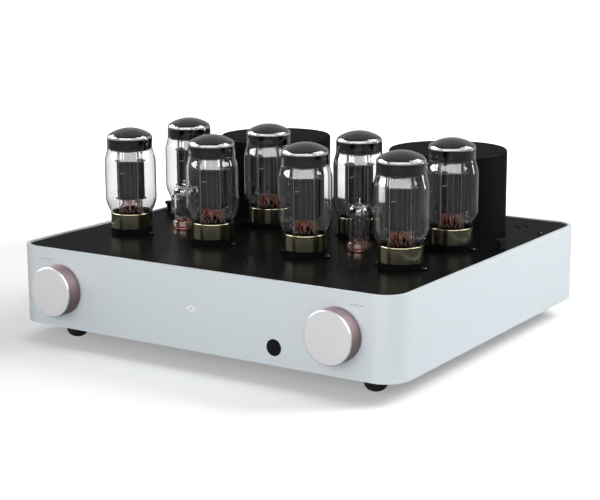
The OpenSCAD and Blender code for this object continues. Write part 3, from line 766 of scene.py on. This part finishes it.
def baseMesh():
    radius = sizeOf("power_tube_1_base").x / 2
    low, high, wall = octal["low"], octal["high"], octal["wall"]
    step, bead = octal["step"], octal["bead"]
    keyWide, keyEnd = octal["keyWide"], low - octal["keyLong"]
    cup = [(0.0, low + 0.0012), (radius - 0.003, low + 0.0012), (radius - 0.0025, low), (radius, low),
           (radius, high - 0.0006), (radius - 0.0003, high), (radius - wall, high),
           (radius - wall, high - 0.0042), (radius - wall - 0.0002, low + step), (0.0, low + step)]
    bm = bmesh.new()
    turn(bm, roundOutline(cup, octal["round"]), steps=tube["steps"])
    for z in (low + 0.0022, high - 0.0014):                # two rolled beads
        turn(bm, [(radius - 0.00005, z - bead), (radius, z), (radius - 0.00005, z + bead)],
             steps=tube["steps"])
    turn(bm, [(0.0, keyEnd), (keyWide - 0.0008, keyEnd), (keyWide, keyEnd + 0.0008),
              (keyWide, low + 0.002), (0.0, low + 0.002)], steps=32, material=1)
    block(bm, (-0.0007, -keyWide - 0.0008, keyEnd + 0.0004), (0.0007, -keyWide + 0.0005, low + 0.0015),
          0.0001, 1)
    pinWide, pinEnd = octal["pin"], -octal["pinLong"]
    pin = partObject("octal pin", lambda b: turn(b, roundOutline(
        [(0.0, pinEnd), (pinWide, pinEnd), (pinWide, 0.0015), (0.0, 0.0015)], 0.0009), steps=12))
    count = octal["pins"]
    gather(bm, ringMesh("octal pins", pin, count, octal["pinCircle"], "nickel",
                        start=math.pi / count, centre=(0, 0, low)), 2)
    return toMesh("tube base", bm)


stack = {"turn": 30, "wide": 0.0132, "deep": 0.0098, "low": 0.0365, "high": 0.074, "square": 0.42,
         "rib": 0.0006, "ribs": 4, "slotHeight": 0.063, "slotOut": 0.0072, "slotLean": -0.26,
         "lowerMica": 0.016, "upperMica": 0.0158, "topMica": 0.0208, "topMicaUp": 0.0125,
         "micaThick": 0.0004, "rods": (-0.0107, 0.009), "rod": 0.00032,
         "highlightFolds": (-0.0042, 0.0012, 0.0058), "highlightFold": 0.00014,
         "gridRods": (-0.0082, -0.0056, 0.0056, 0.0082), "gridRod": 0.00042, "gridDeep": 0.0024,
         "gridTurns": 4, "gridTurn": 0.0002, "finOut": 0.0118, "leads": 20, "leadSeed": 7,
         "leadThin": 0.00026, "leadThick": 0.00042, "heaters": 0.0003, "straps": 5, "curls": 12,
         "sideRods": (0.0078, 0.0098, 0.0118)}


# outline of a squared oval in the plan
def squareOval(wide, deep, power, count):
    def swell(value):
        return math.copysign(abs(value) ** power, value)

    return [(wide * swell(x), deep * swell(y)) for x, y in circle(1, count)]


def toothedDisc(bm, radius, thick, height, teeth, squash=1.0, depth=0.93):
    points = [(x * (1 if k % 4 < 2 else depth), y * (1 if k % 4 < 2 else depth))
              for k, (x, y) in enumerate(circle(radius, teeth * 4, squash))]
    extrude(bm, points, height, height + thick, 1)


# the plate's two pressed half shells, with side flanges and in each a slanted slot that carries a painted
# glow
def plateShells(bm):
    low, high, wide, deep = stack["low"], stack["high"], stack["wide"], stack["deep"]
    outer = []
    for x, y in squareOval(wide, deep, stack["square"], 96):
        if abs(y) > deep * 0.86:                           # pressed ribs on the two broad faces
            y += math.copysign(stack["rib"] * math.cos(x / wide * math.pi * stack["ribs"]), y)
        outer.append((x, y))
    inner = [(x * 0.955, y * 0.94) for x, y in outer]
    bridge(bm, [[bm.verts.new((x, y, z)) for x, y in outline] for outline, z in
                ((outer, low), (outer, high), (inner, high), (inner, low))], closed=True)
    for side in (-1, 1):
        block(bm, (side * wide - 0.0011, -0.0005, low), (side * wide + 0.0011, 0.0005, high), 0.0001)
        for z in (low + 0.006, (low + high) / 2, high - 0.006):
            block(bm, (side * wide - 0.0012, -0.0012, z - 0.0012),
                  (side * wide + 0.0012, 0.0012, z + 0.0012), 0.0002)
    for side in (-1, 1):
        slot = bmesh.new()
        face = side * (deep + 0.0003)
        block(slot, (-0.0019, face - 0.0003, -0.00022), (0.0019, face + 0.0003, 0.00022), 0.0, 5)
        bmesh.ops.rotate(slot, verts=slot.verts, matrix=Matrix.Rotation(stack["slotLean"], 3, "Y"))
        bmesh.ops.translate(slot, verts=slot.verts, vec=(stack["slotOut"] * side, 0, stack["slotHeight"]))
        joinMesh(bm, slot)


# micas, support rods, bright nickel lines on the plates that paint highlights along their folds, and the
# grids' rods with their turns and cooling fins
def platesTop(bm):
    low, high, deep = stack["low"], stack["high"], stack["deep"]
    top = high + stack["topMicaUp"]
    thick = stack["micaThick"]
    toothedDisc(bm, stack["lowerMica"], thick, low - 0.0012, 28, 0.92)
    toothedDisc(bm, stack["upperMica"], thick, high + 0.0006, 28, 0.92)
    toothedDisc(bm, stack["topMica"], thick, top, 36)
    for side in (-1, 1):
        rodAt, highlightFoldAt = side * (deep + 0.0006), side * (deep + 0.0005)
        for x in stack["rods"]:
            wire(bm, [(x, rodAt, low - 0.012), (x, rodAt, top)], stack["rod"], 8, 2)
        # thin bright lines on the plate faces: a painted highlight along the folds
        for x in stack["highlightFolds"]:
            wire(bm, [(x, highlightFoldAt, low), (x, highlightFoldAt, high)], stack["highlightFold"], 6, 2)
    for x in stack["gridRods"]:
        for y in (-stack["gridDeep"], stack["gridDeep"]):
            wire(bm, [(x, y, low - 0.006), (x, y, top)], stack["gridRod"], 8, 3)
    for side in (-1, 1):
        x = side * stack["finOut"]
        block(bm, (x - 0.0007, -0.0045, high + 0.0015), (x + 0.0007, 0.0045, high + 0.0122), 0.0003, 2)
    block(bm, (-0.0047, -0.0036, high + 0.002), (0.0047, 0.0036, high + 0.0118), 0.0008, 6)
    grill = partObject("grid turn", lambda b: wire(b, [(0, -0.0028, 0), (0, 0.0028, 0)],
                                                   stack["gridTurn"], 6))
    spots = [((x, 0.0, high + 0.002 + 0.0009 * k), (0, 0, 1)) for k in range(stack["gridTurns"])
             for x in stack["gridRods"]]
    gather(bm, pointMesh("grid turns", grill, spots, "copper", turnRange=0.0), 3)


# the glass press, and what runs from it up to the plates: leads, heaters, straps and bare wire
def stemAndLeads(bm):
    low = stack["low"]
    under = low - 0.0008
    turn(bm, roundOutline([(0.0, 0.0167), (0.0172, 0.0167), (0.0172, 0.0182), (0.0105, 0.0215),
                           (0.0066, 0.0272), (0.0, 0.0278)], 0.002), steps=40, material=4)
    chance = random.Random(stack["leadSeed"])
    for k in range(stack["leads"]):                        # one lead in five is bare nickel
        a = 2 * math.pi * k / stack["leads"]
        foot = Vector((0.0125 * math.cos(a), 0.0105 * math.sin(a), 0.0205))
        head = Vector((0.0095 * math.cos(a + 0.5), 0.006 * math.sin(a + 0.5), under))
        knee = foot.lerp(head, 0.3) + Vector([chance.uniform(-0.0022, 0.0022) for _ in range(3)])
        bend = foot.lerp(head, 0.6) + Vector([chance.uniform(-0.0026, 0.0026) for _ in range(3)])
        wire(bm, [foot, knee, bend, Vector((head.x, head.y, low - 0.004)), head],
             chance.uniform(stack["leadThin"], stack["leadThick"]), 6, 2 if k % 5 == 0 else 3)
    # heater wires on the press, which carry the painted heater glow
    for x, y in ((-0.0045, 0.003), (-0.001, -0.004), (0.0025, 0.0035), (0.0055, -0.002)):
        wire(bm, [(x, y, under), (x * 1.2, y * 1.3, 0.031), (x * 0.8, y * 1.6, 0.0275),
                  (x * 1.5, y * 1.8, 0.0245)], stack["heaters"], 6, 5)
    for k in range(stack["straps"]):
        x = -0.007 + 0.0035 * k
        y = 0.0042 * (1 if k % 2 else -1)
        block(bm, (x - 0.0005, y - 0.0002, low - 0.0075 - 0.001 * (k % 3)),
              (x + 0.0005, y + 0.0002, under), 0.0, 3)
    for k in range(stack["curls"]):                        # curled ends of wire on the press
        a = 2 * math.pi * k / stack["curls"] + 0.2
        middle = Vector((0.0115 * math.cos(a), 0.0105 * math.sin(a), 0.0222))
        wire(bm, [middle + Vector((0.0011 * math.cos(a + t * 0.9), 0.0011 * math.sin(a + t * 0.9),
                                   0.0005 * t)) for t in range(7)], 0.00024, 6, 2)
    for x in stack["sideRods"]:
        wire(bm, [(x, -0.0035, 0.0205), (x, -0.0035, under)], 0.00045, 8, 2)


def electrodeMesh():
    bm = bmesh.new()
    plateShells(bm)
    platesTop(bm)
    stemAndLeads(bm)
    mesh = toMesh("electrodes", bm)
    mesh.transform(Matrix.Rotation(math.radians(stack["turn"]), 4, "Z"))
    return mesh


def placed(mesh, name, spot):
    copy = mesh.copy()
    copy.name = name
    copy.transform(Matrix.Translation(spot))
    return copy


# the same pieces for each tube: name, mesh, finishes, ending of the node, slot and smoothing angle
def placeTubes(label, numbers, middleNode, pieces):
    for i in numbers:
        node = f"{label}_{i}"
        middle = centreOf(node + middleNode)
        spot = Vector((middle.x, middle.y, bandTop))
        for name, mesh, materials, ending, slot, smooth in pieces:
            copy = placed(mesh, f"{name}{i}", spot)
            replaced = [node + ending] if ending else ()
            meshPiece(f"{name}{i}", copy, materials, node, replaced, smooth)


def makePowerTubes():
    glass, inner = bulbMesh()
    placeTubes("power_tube", powerTubes, "_base", (
        ("bulb", glass, ["glass"], "_glass", "bulb", 60),
        ("getterFilm", filmMesh(inner), ["getter", "getterHighlight"], None, "bulb", 60),
        ("tubeBase", baseMesh(), ["tubeBase", "blackPart", "nickel"], "_base", "tube_base", 35),
        ("electrodes", electrodeMesh(), ["anode", "mica", "nickel", "copper", "glass", "heater", "tray"],
         "_electrodes", "electrodes", 35)))


makePowerTubes()
print("power tubes made")


# small signal tubes

small = {"radius": sizeOf("small_tube_1_glass").x / 2 - 0.00002, "wall": 0.0008, "footRound": 0.0035,
         "foot": 0.0012, "shoulder": 0.0435, "round": 0.0062, "tip": 0.05, "steps": 48,
         "silverLow": 0.0335, "silverThick": 0.0003, "turn": 20,
         "micas": ((0.0105, 0.0092), (0.0305, 0.0092), (0.0325, 0.0088)), "micaThick": 0.0003,
         "plateOut": 0.004, "plateWide": 0.0024, "plateDeep": 0.0046, "plateLow": 0.0115,
         "plateHigh": 0.0295, "bands": (0.015, 0.0205, 0.026), "rod": 0.0003, "rodOut": 0.003,
         "heater": 0.0005, "pins": 9, "pinStep": 36, "pinCircle": 0.005945, "pin": 0.00049,
         "pinLong": 0.0048, "pinTop": 0.0042, "ring": 0.0028, "ringUp": 0.0362, "ringWire": 0.0005}


# an arc of (radius, height) points between two angles, for a corner with this middle and reach
def arc(middle, height, reach, first, last, step):
    return [(middle + reach * math.cos(math.radians(a)), height + reach * math.sin(math.radians(a)))
            for a in range(first, last, step)]


def smallBulbOutline():
    r, top, e, low, f = (small["radius"], small["shoulder"], small["round"], small["foot"],
                         small["footRound"])
    out = [(0.0, low), (r - f, low)] + arc(r - f, low + f, f, -75, 1, 15)
    out += [(r, 0.02), (r, top - e)] + arc(r - e, top - e, e, 12, 85, 12)
    out += [(0.0034, top - 0.0001), (0.0021, top + 0.0006), (0.0014, top + 0.002), (0.001, top + 0.0042),
            (0.0004, small["tip"] - 0.0002), (0.0, small["tip"])]
    return out


def smallHollowOutline():
    r, top, e = (small[key] - small["wall"] for key in ("radius", "shoulder", "round"))
    return [(0.0, 0.0026), (r - 0.003, 0.0026), (r - 0.0008, 0.0036), (r, 0.0056), (r, 0.02),
            (r, top - e)] + arc(r - e, top - e, e, 12, 91, 12) + [(0.0, top)]


def smallBulbMesh():
    bm = bmesh.new()
    turn(bm, smallBulbOutline(), steps=small["steps"])
    bmesh.ops.recalc_face_normals(bm, faces=bm.faces)
    shell = bmesh.new()
    turn(shell, smallHollowOutline(), steps=small["steps"])
    bmesh.ops.recalc_face_normals(shell, faces=shell.faces)
    bmesh.ops.reverse_faces(shell, faces=shell.faces)      # the hollow's skin faces into the hollow
    joinMesh(bm, shell)
    return toMesh("small bulb", bm, False)


# silver getter: a thin cap under the crown, with a ragged lower edge and dark patches
def silverCapMesh():
    low, thick = small["silverLow"], small["silverThick"]
    cap = [(r - 0.00015, z) for r, z in smallHollowOutline() if z > low and r > 0.001]
    cap = [(cap[0][0], low + 0.002)] + cap + [(0.0, small["shoulder"] - small["wall"] - 0.0002)]
    under = [(max(r - thick, 0), z - 0.0002) for r, z in cap]
    bm = bmesh.new()
    turn(bm, cap + list(reversed(under)), steps=small["steps"], closed=True)
    for vert in bm.verts:
        if vert.co.z < low + 0.0024:
            angle = math.atan2(vert.co.y, vert.co.x)
            vert.co.z += 0.0013 * math.sin(angle * 3 + 0.6) + 0.0006 * math.sin(angle * 7)
    for face in bm.faces:
        middle = face.calc_center_median()
        angle = math.atan2(middle.y, middle.x)
        wave = math.sin(angle * 3 + 1.1) + 0.7 * math.sin(angle * 5 - middle.z * 900)
        face.material_index = 1 if wave > -0.1 else 0
    return toMesh("silver cap", bm)


# micas, twin plates with bands, rods, heaters, pins with their leads, and the getter ring
def smallElectrodeMesh():
    bm = bmesh.new()
    for z, reach in small["micas"]:
        toothedDisc(bm, reach, small["micaThick"], z, 20)
    for side in (-1, 1):
        x = side * small["plateOut"]
        plate = squareOval(small["plateWide"], small["plateDeep"], 0.5, 32)
        extrude(bm, [(x + px, py) for px, py in plate], small["plateLow"], small["plateHigh"])
        for z in small["bands"]:
            extrude(bm, [(x + px * 1.05, py * 1.05) for px, py in plate], z - 0.0004, z + 0.0004)
        for y in (-small["rodOut"], small["rodOut"]):
            wire(bm, [(x, y, 0.0045), (x, y, 0.0338)], small["rod"], 6, 2)
        # the heater wire carries the painted heater glow
        wire(bm, [(x, 0, 0.0052), (x, 0, 0.0112)], small["heater"], 6, 5)
    for k in range(small["pins"]):
        a = math.radians(small["pinStep"] * (k + 1) - 90)
        x, y, top = small["pinCircle"] * math.cos(a), small["pinCircle"] * math.sin(a), small["pinTop"]
        wire(bm, [(x, y, -small["pinLong"]), (x, y, top)], small["pin"], 8, 2)
        wire(bm, [(x, y, top), (x * 0.8, y * 0.7, 0.0078), (x * 0.7, y * 0.6, 0.0104)], 0.0003, 6, 3)
    ring, up = small["ring"], small["ringUp"]
    loop = [(x, y, up) for x, y in circle(ring, 24)]
    wire(bm, loop + loop[:1], small["ringWire"], 6, 2)
    wire(bm, [(ring, 0, up), (ring, 0, up - 0.0034)], 0.0003, 6, 2)
    mesh = toMesh("small electrodes", bm)
    mesh.transform(Matrix.Rotation(math.radians(small["turn"]), 4, "Z"))
    return mesh


def makeSmallTubes():
    placeTubes("small_tube", smallTubes, "_glass", (
        ("smallBulb", smallBulbMesh(), ["glass"], "_glass", "small_bulb", 50),
        ("silverCap", silverCapMesh(), ["silverGetter", "getter"], None, "small_bulb", 50),
        ("smallElectrodes", smallElectrodeMesh(),
         ["greyPlate", "mica", "nickel", "copper", "glass", "heater"],
         "_electrodes", "small_electrodes", 35)))


makeSmallTubes()
print("small tubes made")


# knobs

knob = {"chamfer": 0.0007, "lip": 0.00145, "faceDeep": 0.0015, "boreWide": 0.0105, "boreDeep": 0.005,
        "shaft": 0.00302, "rearGroove": 0.0022, "grooveWide": 0.0009, "grooveDeep": 0.0005,
        "turning": 0.0009, "turningDeep": 0.00006, "steps": 144}


def knobRing():
    size = sizeOf("volume_knob_ring")
    radius, depth = size.x / 2, size.y
    groove, grooveEnd = knob["rearGroove"], knob["rearGroove"] + knob["grooveWide"]
    side, sunk, lip = radius - 0.0001, radius - knob["grooveDeep"], radius - knob["lip"]
    bore = knob["boreWide"]
    outline = [(knob["shaft"], knob["boreDeep"]), (bore, knob["boreDeep"]), (bore, 0.0),
               (radius - 0.0005, 0.0), (side, 0.0004), (side, groove), (sunk, groove),
               (sunk, grooveEnd), (side, grooveEnd)]
    z = grooveEnd + 0.0006
    while z < depth - knob["chamfer"] - knob["turning"]:   # the lathe's fine steps along the side
        outline += [(radius, z), (radius, z + knob["turning"] * 0.7),
                    (radius - knob["turningDeep"], z + knob["turning"] * 0.85)]
        z += knob["turning"]
    outline += [(radius, depth - knob["chamfer"]), (radius - knob["chamfer"], depth), (lip, depth),
                (lip, depth - knob["faceDeep"]), (knob["shaft"], depth - knob["faceDeep"])]
    bm = bmesh.new()
    turn(bm, outline, steps=knob["steps"], closed=True)
    for face in bm.faces:
        z = face.calc_center_median().z
        if z > depth - knob["chamfer"]:
            face.material_index = 2 if z < depth - 0.00001 else 1
    return bm, depth, radius


def knobFace(radius):
    reach = radius - knob["lip"] - 0.00002
    bm = bmesh.new()
    turn(bm, [(0.0, -knob["faceDeep"]), (reach, -knob["faceDeep"]), (reach, -0.0001),
              (reach - 0.0001, 0.0), (0.0, 0.0)], steps=knob["steps"])
    return bm


def makeKnobs():
    for name in ("volume", "selector"):
        middle = centreOf(name + "_knob_ring")
        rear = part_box(name + "_knob_ring")[1][1]
        toFront = Matrix.Translation((middle.x, rear, middle.z)) @ Matrix.Rotation(math.pi / 2, 4, "X")
        ring, depth, radius = knobRing()
        bmesh.ops.transform(ring, matrix=toFront, verts=ring.verts)
        newPiece(name + "Ring", ring, ["rose", "pale", "bright"], name + "_knob", [name + "_knob_ring"])
        face = knobFace(radius)
        bmesh.ops.transform(face, matrix=toFront @ Matrix.Translation((0, 0, depth)), verts=face.verts)
        newPiece(name + "Face", face, ["pale"], name + "_knob", [name + "_knob_face"])


makeKnobs()
print("knobs made")


# marks on the front: a plain lozenge in the middle, a dash beside each knob and dots for the selector

marks = {"lift": 0.00005, "lozengeWide": 0.006, "lozengeHigh": 0.0034, "line": 0.00112,
         "lozengeUp": 0.041, "dashOut": 0.0192, "dashUp": 0.068, "dashLong": 0.0038,
         "dashHigh": 0.0011, "dashes": 3, "dashStep": 0.005, "dotReach": 0.0335, "dotSize": 0.0007,
         "dotFirst": 150, "dotStep": 30, "dots": 4}


# a flat plate on the front face, from an outline of (across, up) points
def frontPlate(bm, outline, material=0):
    rings = [[bm.verts.new((x, y, z)) for x, z in outline]
             for y in (bandLow[1] + 0.0002, bandLow[1] - marks["lift"])]
    bridge(bm, rings, material=material)
    for ring in rings:
        bm.faces.new(ring).material_index = material


def makeMarks():
    bm = bmesh.new()
    wide, high = marks["lozengeWide"], marks["lozengeHigh"]
    inner = 1 - marks["line"] / high
    middleX, middleZ = caseMiddle.x, bandLow[2] + marks["lozengeUp"]
    corners = [(-wide, 0), (0, high), (wide, 0), (0, -high)]
    for (x, z), (nextX, nextZ) in zip(corners, corners[1:] + corners[:1]):
        frontPlate(bm, [(middleX + px, middleZ + pz) for px, pz in (
            (x, z), (nextX, nextZ), (nextX * inner, nextZ * inner), (x * inner, z * inner))])
    half, tall = marks["dashLong"] / 2, marks["dashHigh"] / 2
    z = bandLow[2] + marks["dashUp"]
    for name, side in (("volume", -1), ("selector", 1)):
        x = centreOf(name + "_knob_ring").x + side * marks["dashOut"]
        for k in range(marks["dashes"]):
            mid = x + (k - (marks["dashes"] - 1) / 2) * marks["dashStep"]
            frontPlate(bm, [(mid - half, z - tall), (mid + half, z - tall), (mid + half, z + tall),
                            (mid - half, z + tall)], 1)
    knobAt = centreOf("selector_knob_ring")
    for k in range(marks["dots"]):
        a = math.radians(marks["dotFirst"] + marks["dotStep"] * k)
        x = knobAt.x + marks["dotReach"] * math.cos(a)
        z = knobAt.z + marks["dotReach"] * math.sin(a)
        frontPlate(bm, [(x + px, z + pz) for px, pz in circle(marks["dotSize"], 12)], 1)
    newPiece("frontMarks", bm, ["print", "ink"], "chassis", (), 30)


makeMarks()
print("marks made")


# the corners of each loose solid in a CAD node
def looseParts(node):
    bm = bmesh.new()
    bm.from_mesh(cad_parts[node].data)
    bmesh.ops.remove_doubles(bm, verts=bm.verts, dist=0.000002)
    bm.verts.index_update()
    seen, parts = set(), []
    for start in bm.verts:
        if start.index in seen:
            continue
        island, queue = [], [start]
        seen.add(start.index)
        while queue:
            vert = queue.pop()
            island.append(vert.co.copy())
            for edge in vert.link_edges:
                other = edge.other_vert(vert)
                if other.index not in seen:
                    seen.add(other.index)
                    queue.append(other)
        parts.append(island)
    bm.free()
    return parts


def cornersOf(island):
    return (Vector([min(c[k] for c in island) for k in range(3)]),
            Vector([max(c[k] for c in island) for k in range(3)]))


# the loose solids of a CAD node, as pairs of opposite corners, from left to right
def looseBoxes(node):
    return sorted((cornersOf(island) for island in looseParts(node)), key=lambda pair: pair[0].x)


# screws, one at each place where the CAD has one

screw = {"head": 0.0029, "high": 0.0016, "shank": 0.0015, "long": 0.0078, "crossLong": 0.0017,
         "crossWide": 0.00032, "crossDeep": 0.00025}


def screwPart(bm):
    head, shank = screw["head"] - 0.0001, screw["shank"] - 0.0001
    high, long = screw["high"], screw["long"]
    turn(bm, roundOutline([(0.0, -long), (0.0012, -long), (shank, 0.0008 - long), (shank, 0.0),
                           (head, 0.0), (head, high * 0.45), (0.0019, high), (0.0, high)], 0.0005, 3),
         steps=24)
    for a in (0.0, math.pi / 2):                           # the cross, as two narrow bars
        bar = bmesh.new()
        block(bar, (-screw["crossLong"], -screw["crossWide"], high - screw["crossDeep"]),
              (screw["crossLong"], screw["crossWide"], high - 0.00001))
        bmesh.ops.rotate(bar, verts=bar.verts, matrix=Matrix.Rotation(a, 3, "Z"))
        joinMesh(bm, bar)


# place and direction of every loose screw in the CAD mesh
def screwSpots():
    spots = []
    for island in looseParts("case_screws"):
        low, high = cornersOf(island)
        size = high - low
        axis = max(range(3), key=lambda k: size[k])
        middle = (low + high) / 2
        across = [k for k in range(3) if k != axis]
        headCorners = [c[axis] for c in island
                       if math.hypot(*(c[k] - middle[k] for k in across)) > screw["shank"] * 1.3]
        sign = 1 if sum(headCorners) / len(headCorners) > middle[axis] else -1
        spot = middle.copy()
        spot[axis] = (high[axis] if sign > 0 else low[axis]) - sign * screw["high"]
        direction = Vector((0, 0, 0))
        direction[axis] = sign
        spots.append((spot, direction))
    return spots


def makeScrews():
    spots = screwSpots()
    part = partObject("pan screw", screwPart)
    bm = bmesh.new()
    gather(bm, pointMesh("screws", part, spots, "blackSteel", seed=5), 0)
    newPiece("screws", bm, ["blackSteel"], "chassis", ["case_screws"], 40, False)
    print("screws made:", len(spots))


makeScrews()


# speaker terminals: a gold body with its nuts behind a fluted cap

terminal = {"capLong": 0.016, "capWide": 0.0065, "flutes": 24, "fluteDeep": 0.00035, "bananaWide": 0.002,
            "studWide": 0.0025, "neckWide": 0.004, "panelAt": 0.008, "round": 0.0004, "steps": 48}


# the cap as a ring, with its bore left open
def flutedCap(bm, low, high, material):
    count = terminal["flutes"] * 4
    groove = 1 - terminal["fluteDeep"] / terminal["capWide"]
    outer = [(x * (groove if k % 4 > 1 else 1), y * (groove if k % 4 > 1 else 1))
             for k, (x, y) in enumerate(circle(terminal["capWide"], count))]
    inner = circle(terminal["bananaWide"], count)
    rings = [[bm.verts.new((x * scale, y * scale, z)) for x, y in outline] for outline, scale, z in (
        (outer, 0.93, low), (outer, 1, low + 0.0006), (outer, 1, high - 0.001), (outer, 0.9, high),
        (inner, 1.9, high), (inner, 1.9, high - 0.0004), (inner, 1, high - 0.0004), (inner, 1, low))]
    bridge(bm, rings, closed=True, material=material)


# sets a part that was made upright on the rear panel, pointing back, and adds it to the rest
def setOnPanel(bm, part, low, high):
    place = Matrix.Translation(((low.x + high.x) / 2, low.y, (low.z + high.z) / 2))
    bmesh.ops.transform(part, matrix=place @ Matrix.Rotation(-math.pi / 2, 4, "X"), verts=part.verts)
    joinMesh(bm, part)


def makeTerminals():
    bm = bmesh.new()
    bore, stud, neck, wide, panel = (terminal[key] for key in (
        "bananaWide", "studWide", "neckWide", "capWide", "panelAt"))
    for index, (low, high) in enumerate(looseBoxes("speaker_terminals")):
        out = high.y - low.y
        capLow = out - terminal["capLong"]
        part = bmesh.new()
        flutedCap(part, capLow, out, 1 + index % 2)
        turn(part, roundOutline([(bore, 0.0), (stud, 0.0), (stud, panel - 0.0002), (wide, panel),
                                 (wide, panel + 0.0039), (neck, panel + 0.004), (neck, panel + 0.0068),
                                 (wide, panel + 0.007), (wide, panel + 0.0125), (neck, panel + 0.0128),
                                 (neck, capLow), (bore, capLow)], terminal["round"], 2),
             steps=terminal["steps"], closed=True)
        setOnPanel(bm, part, low, high)
    newPiece("speakerTerminals", bm, ["gold", "redPart", "blackPart"], "chassis", ["speaker_terminals"],
             40)


# input jacks: gold shell with its nut, a white or red ring that insulates the middle contact

jack = {"wide": 0.00415, "bore": 0.00165, "inside": 0.0026, "wall": 0.0008, "flange": 0.0055,
        "flangeLow": 0.005, "flangeHigh": 0.0079, "groove": 0.0002, "nutWide": 0.006,
        "nutHigh": 0.0018, "steps": 40}


def makeJacks():
    bm = bmesh.new()
    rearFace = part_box("rear_panel")[1][1]
    wide, bore, inside, flange = (jack[key] for key in ("wide", "bore", "inside", "flange"))
    lip, sunk = wide - jack["wall"], wide - jack["groove"]
    for index, (low, high) in enumerate(looseBoxes("input_jacks")):
        part = bmesh.new()
        long = high.y - low.y
        panel = rearFace - low.y
        shell = [(bore, 0.0), (wide, 0.0), (wide, jack["flangeLow"]), (flange, jack["flangeLow"]),
                 (flange, jack["flangeHigh"]), (wide, jack["flangeHigh"]), (wide, long - 0.0045),
                 (sunk, long - 0.0042), (sunk, long - 0.0036), (wide, long - 0.0033), (wide, long),
                 (lip, long), (lip, long - 0.001), (inside, long - 0.001)]
        turn(part, roundOutline(shell, 0.0002, 2) + [(inside, long - 0.003), (bore, long - 0.003)],
             steps=jack["steps"], closed=True)
        turn(part, [(bore, long - 0.0032), (inside, long - 0.0032), (lip, long - 0.0014),
                    (lip, long - 0.0008), (bore, long - 0.0008)], steps=jack["steps"],
             material=1 + index % 2, closed=True)
        extrude(part, circle(jack["nutWide"], 6), panel + 0.00005, panel + jack["nutHigh"])
        setOnPanel(bm, part, low, high)
    newPiece("inputJacks", bm, ["gold", "whitePart", "redPart"], "chassis", ["input_jacks"], 40)


makeTerminals()
makeJacks()
print("rear connectors made")


# CAD nodes that stay, each with its own finish

kept = {"case_band": "band", "deck_plate": "deck", "bottom_plate": "panel", "rear_panel": "panel",
        "toroid_coils": "winding", "transformer_bolts": "steel", "power_tube_sockets": "socketBlack",
        "small_tube_sockets": "collar", "cage_posts": "blackPart", "volume_shaft": "steel",
        "selector_shaft": "steel", "volume_control": "steel", "selector_switch": "steel",
        "remote_window": "window", "power_inlet": "blackPart", "power_rocker": "blackPart",
        "circuit_board": "board", "filter_capacitors": "sleeve", "feet": "rubber",
        "left_transformer_can": "can", "right_transformer_can": "can"}


def paintKept():
    for node, item in kept.items():
        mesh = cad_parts[node].data
        mesh.materials.clear()
        mesh.materials.append(finishes[item])


paintKept()
print("kept nodes painted")
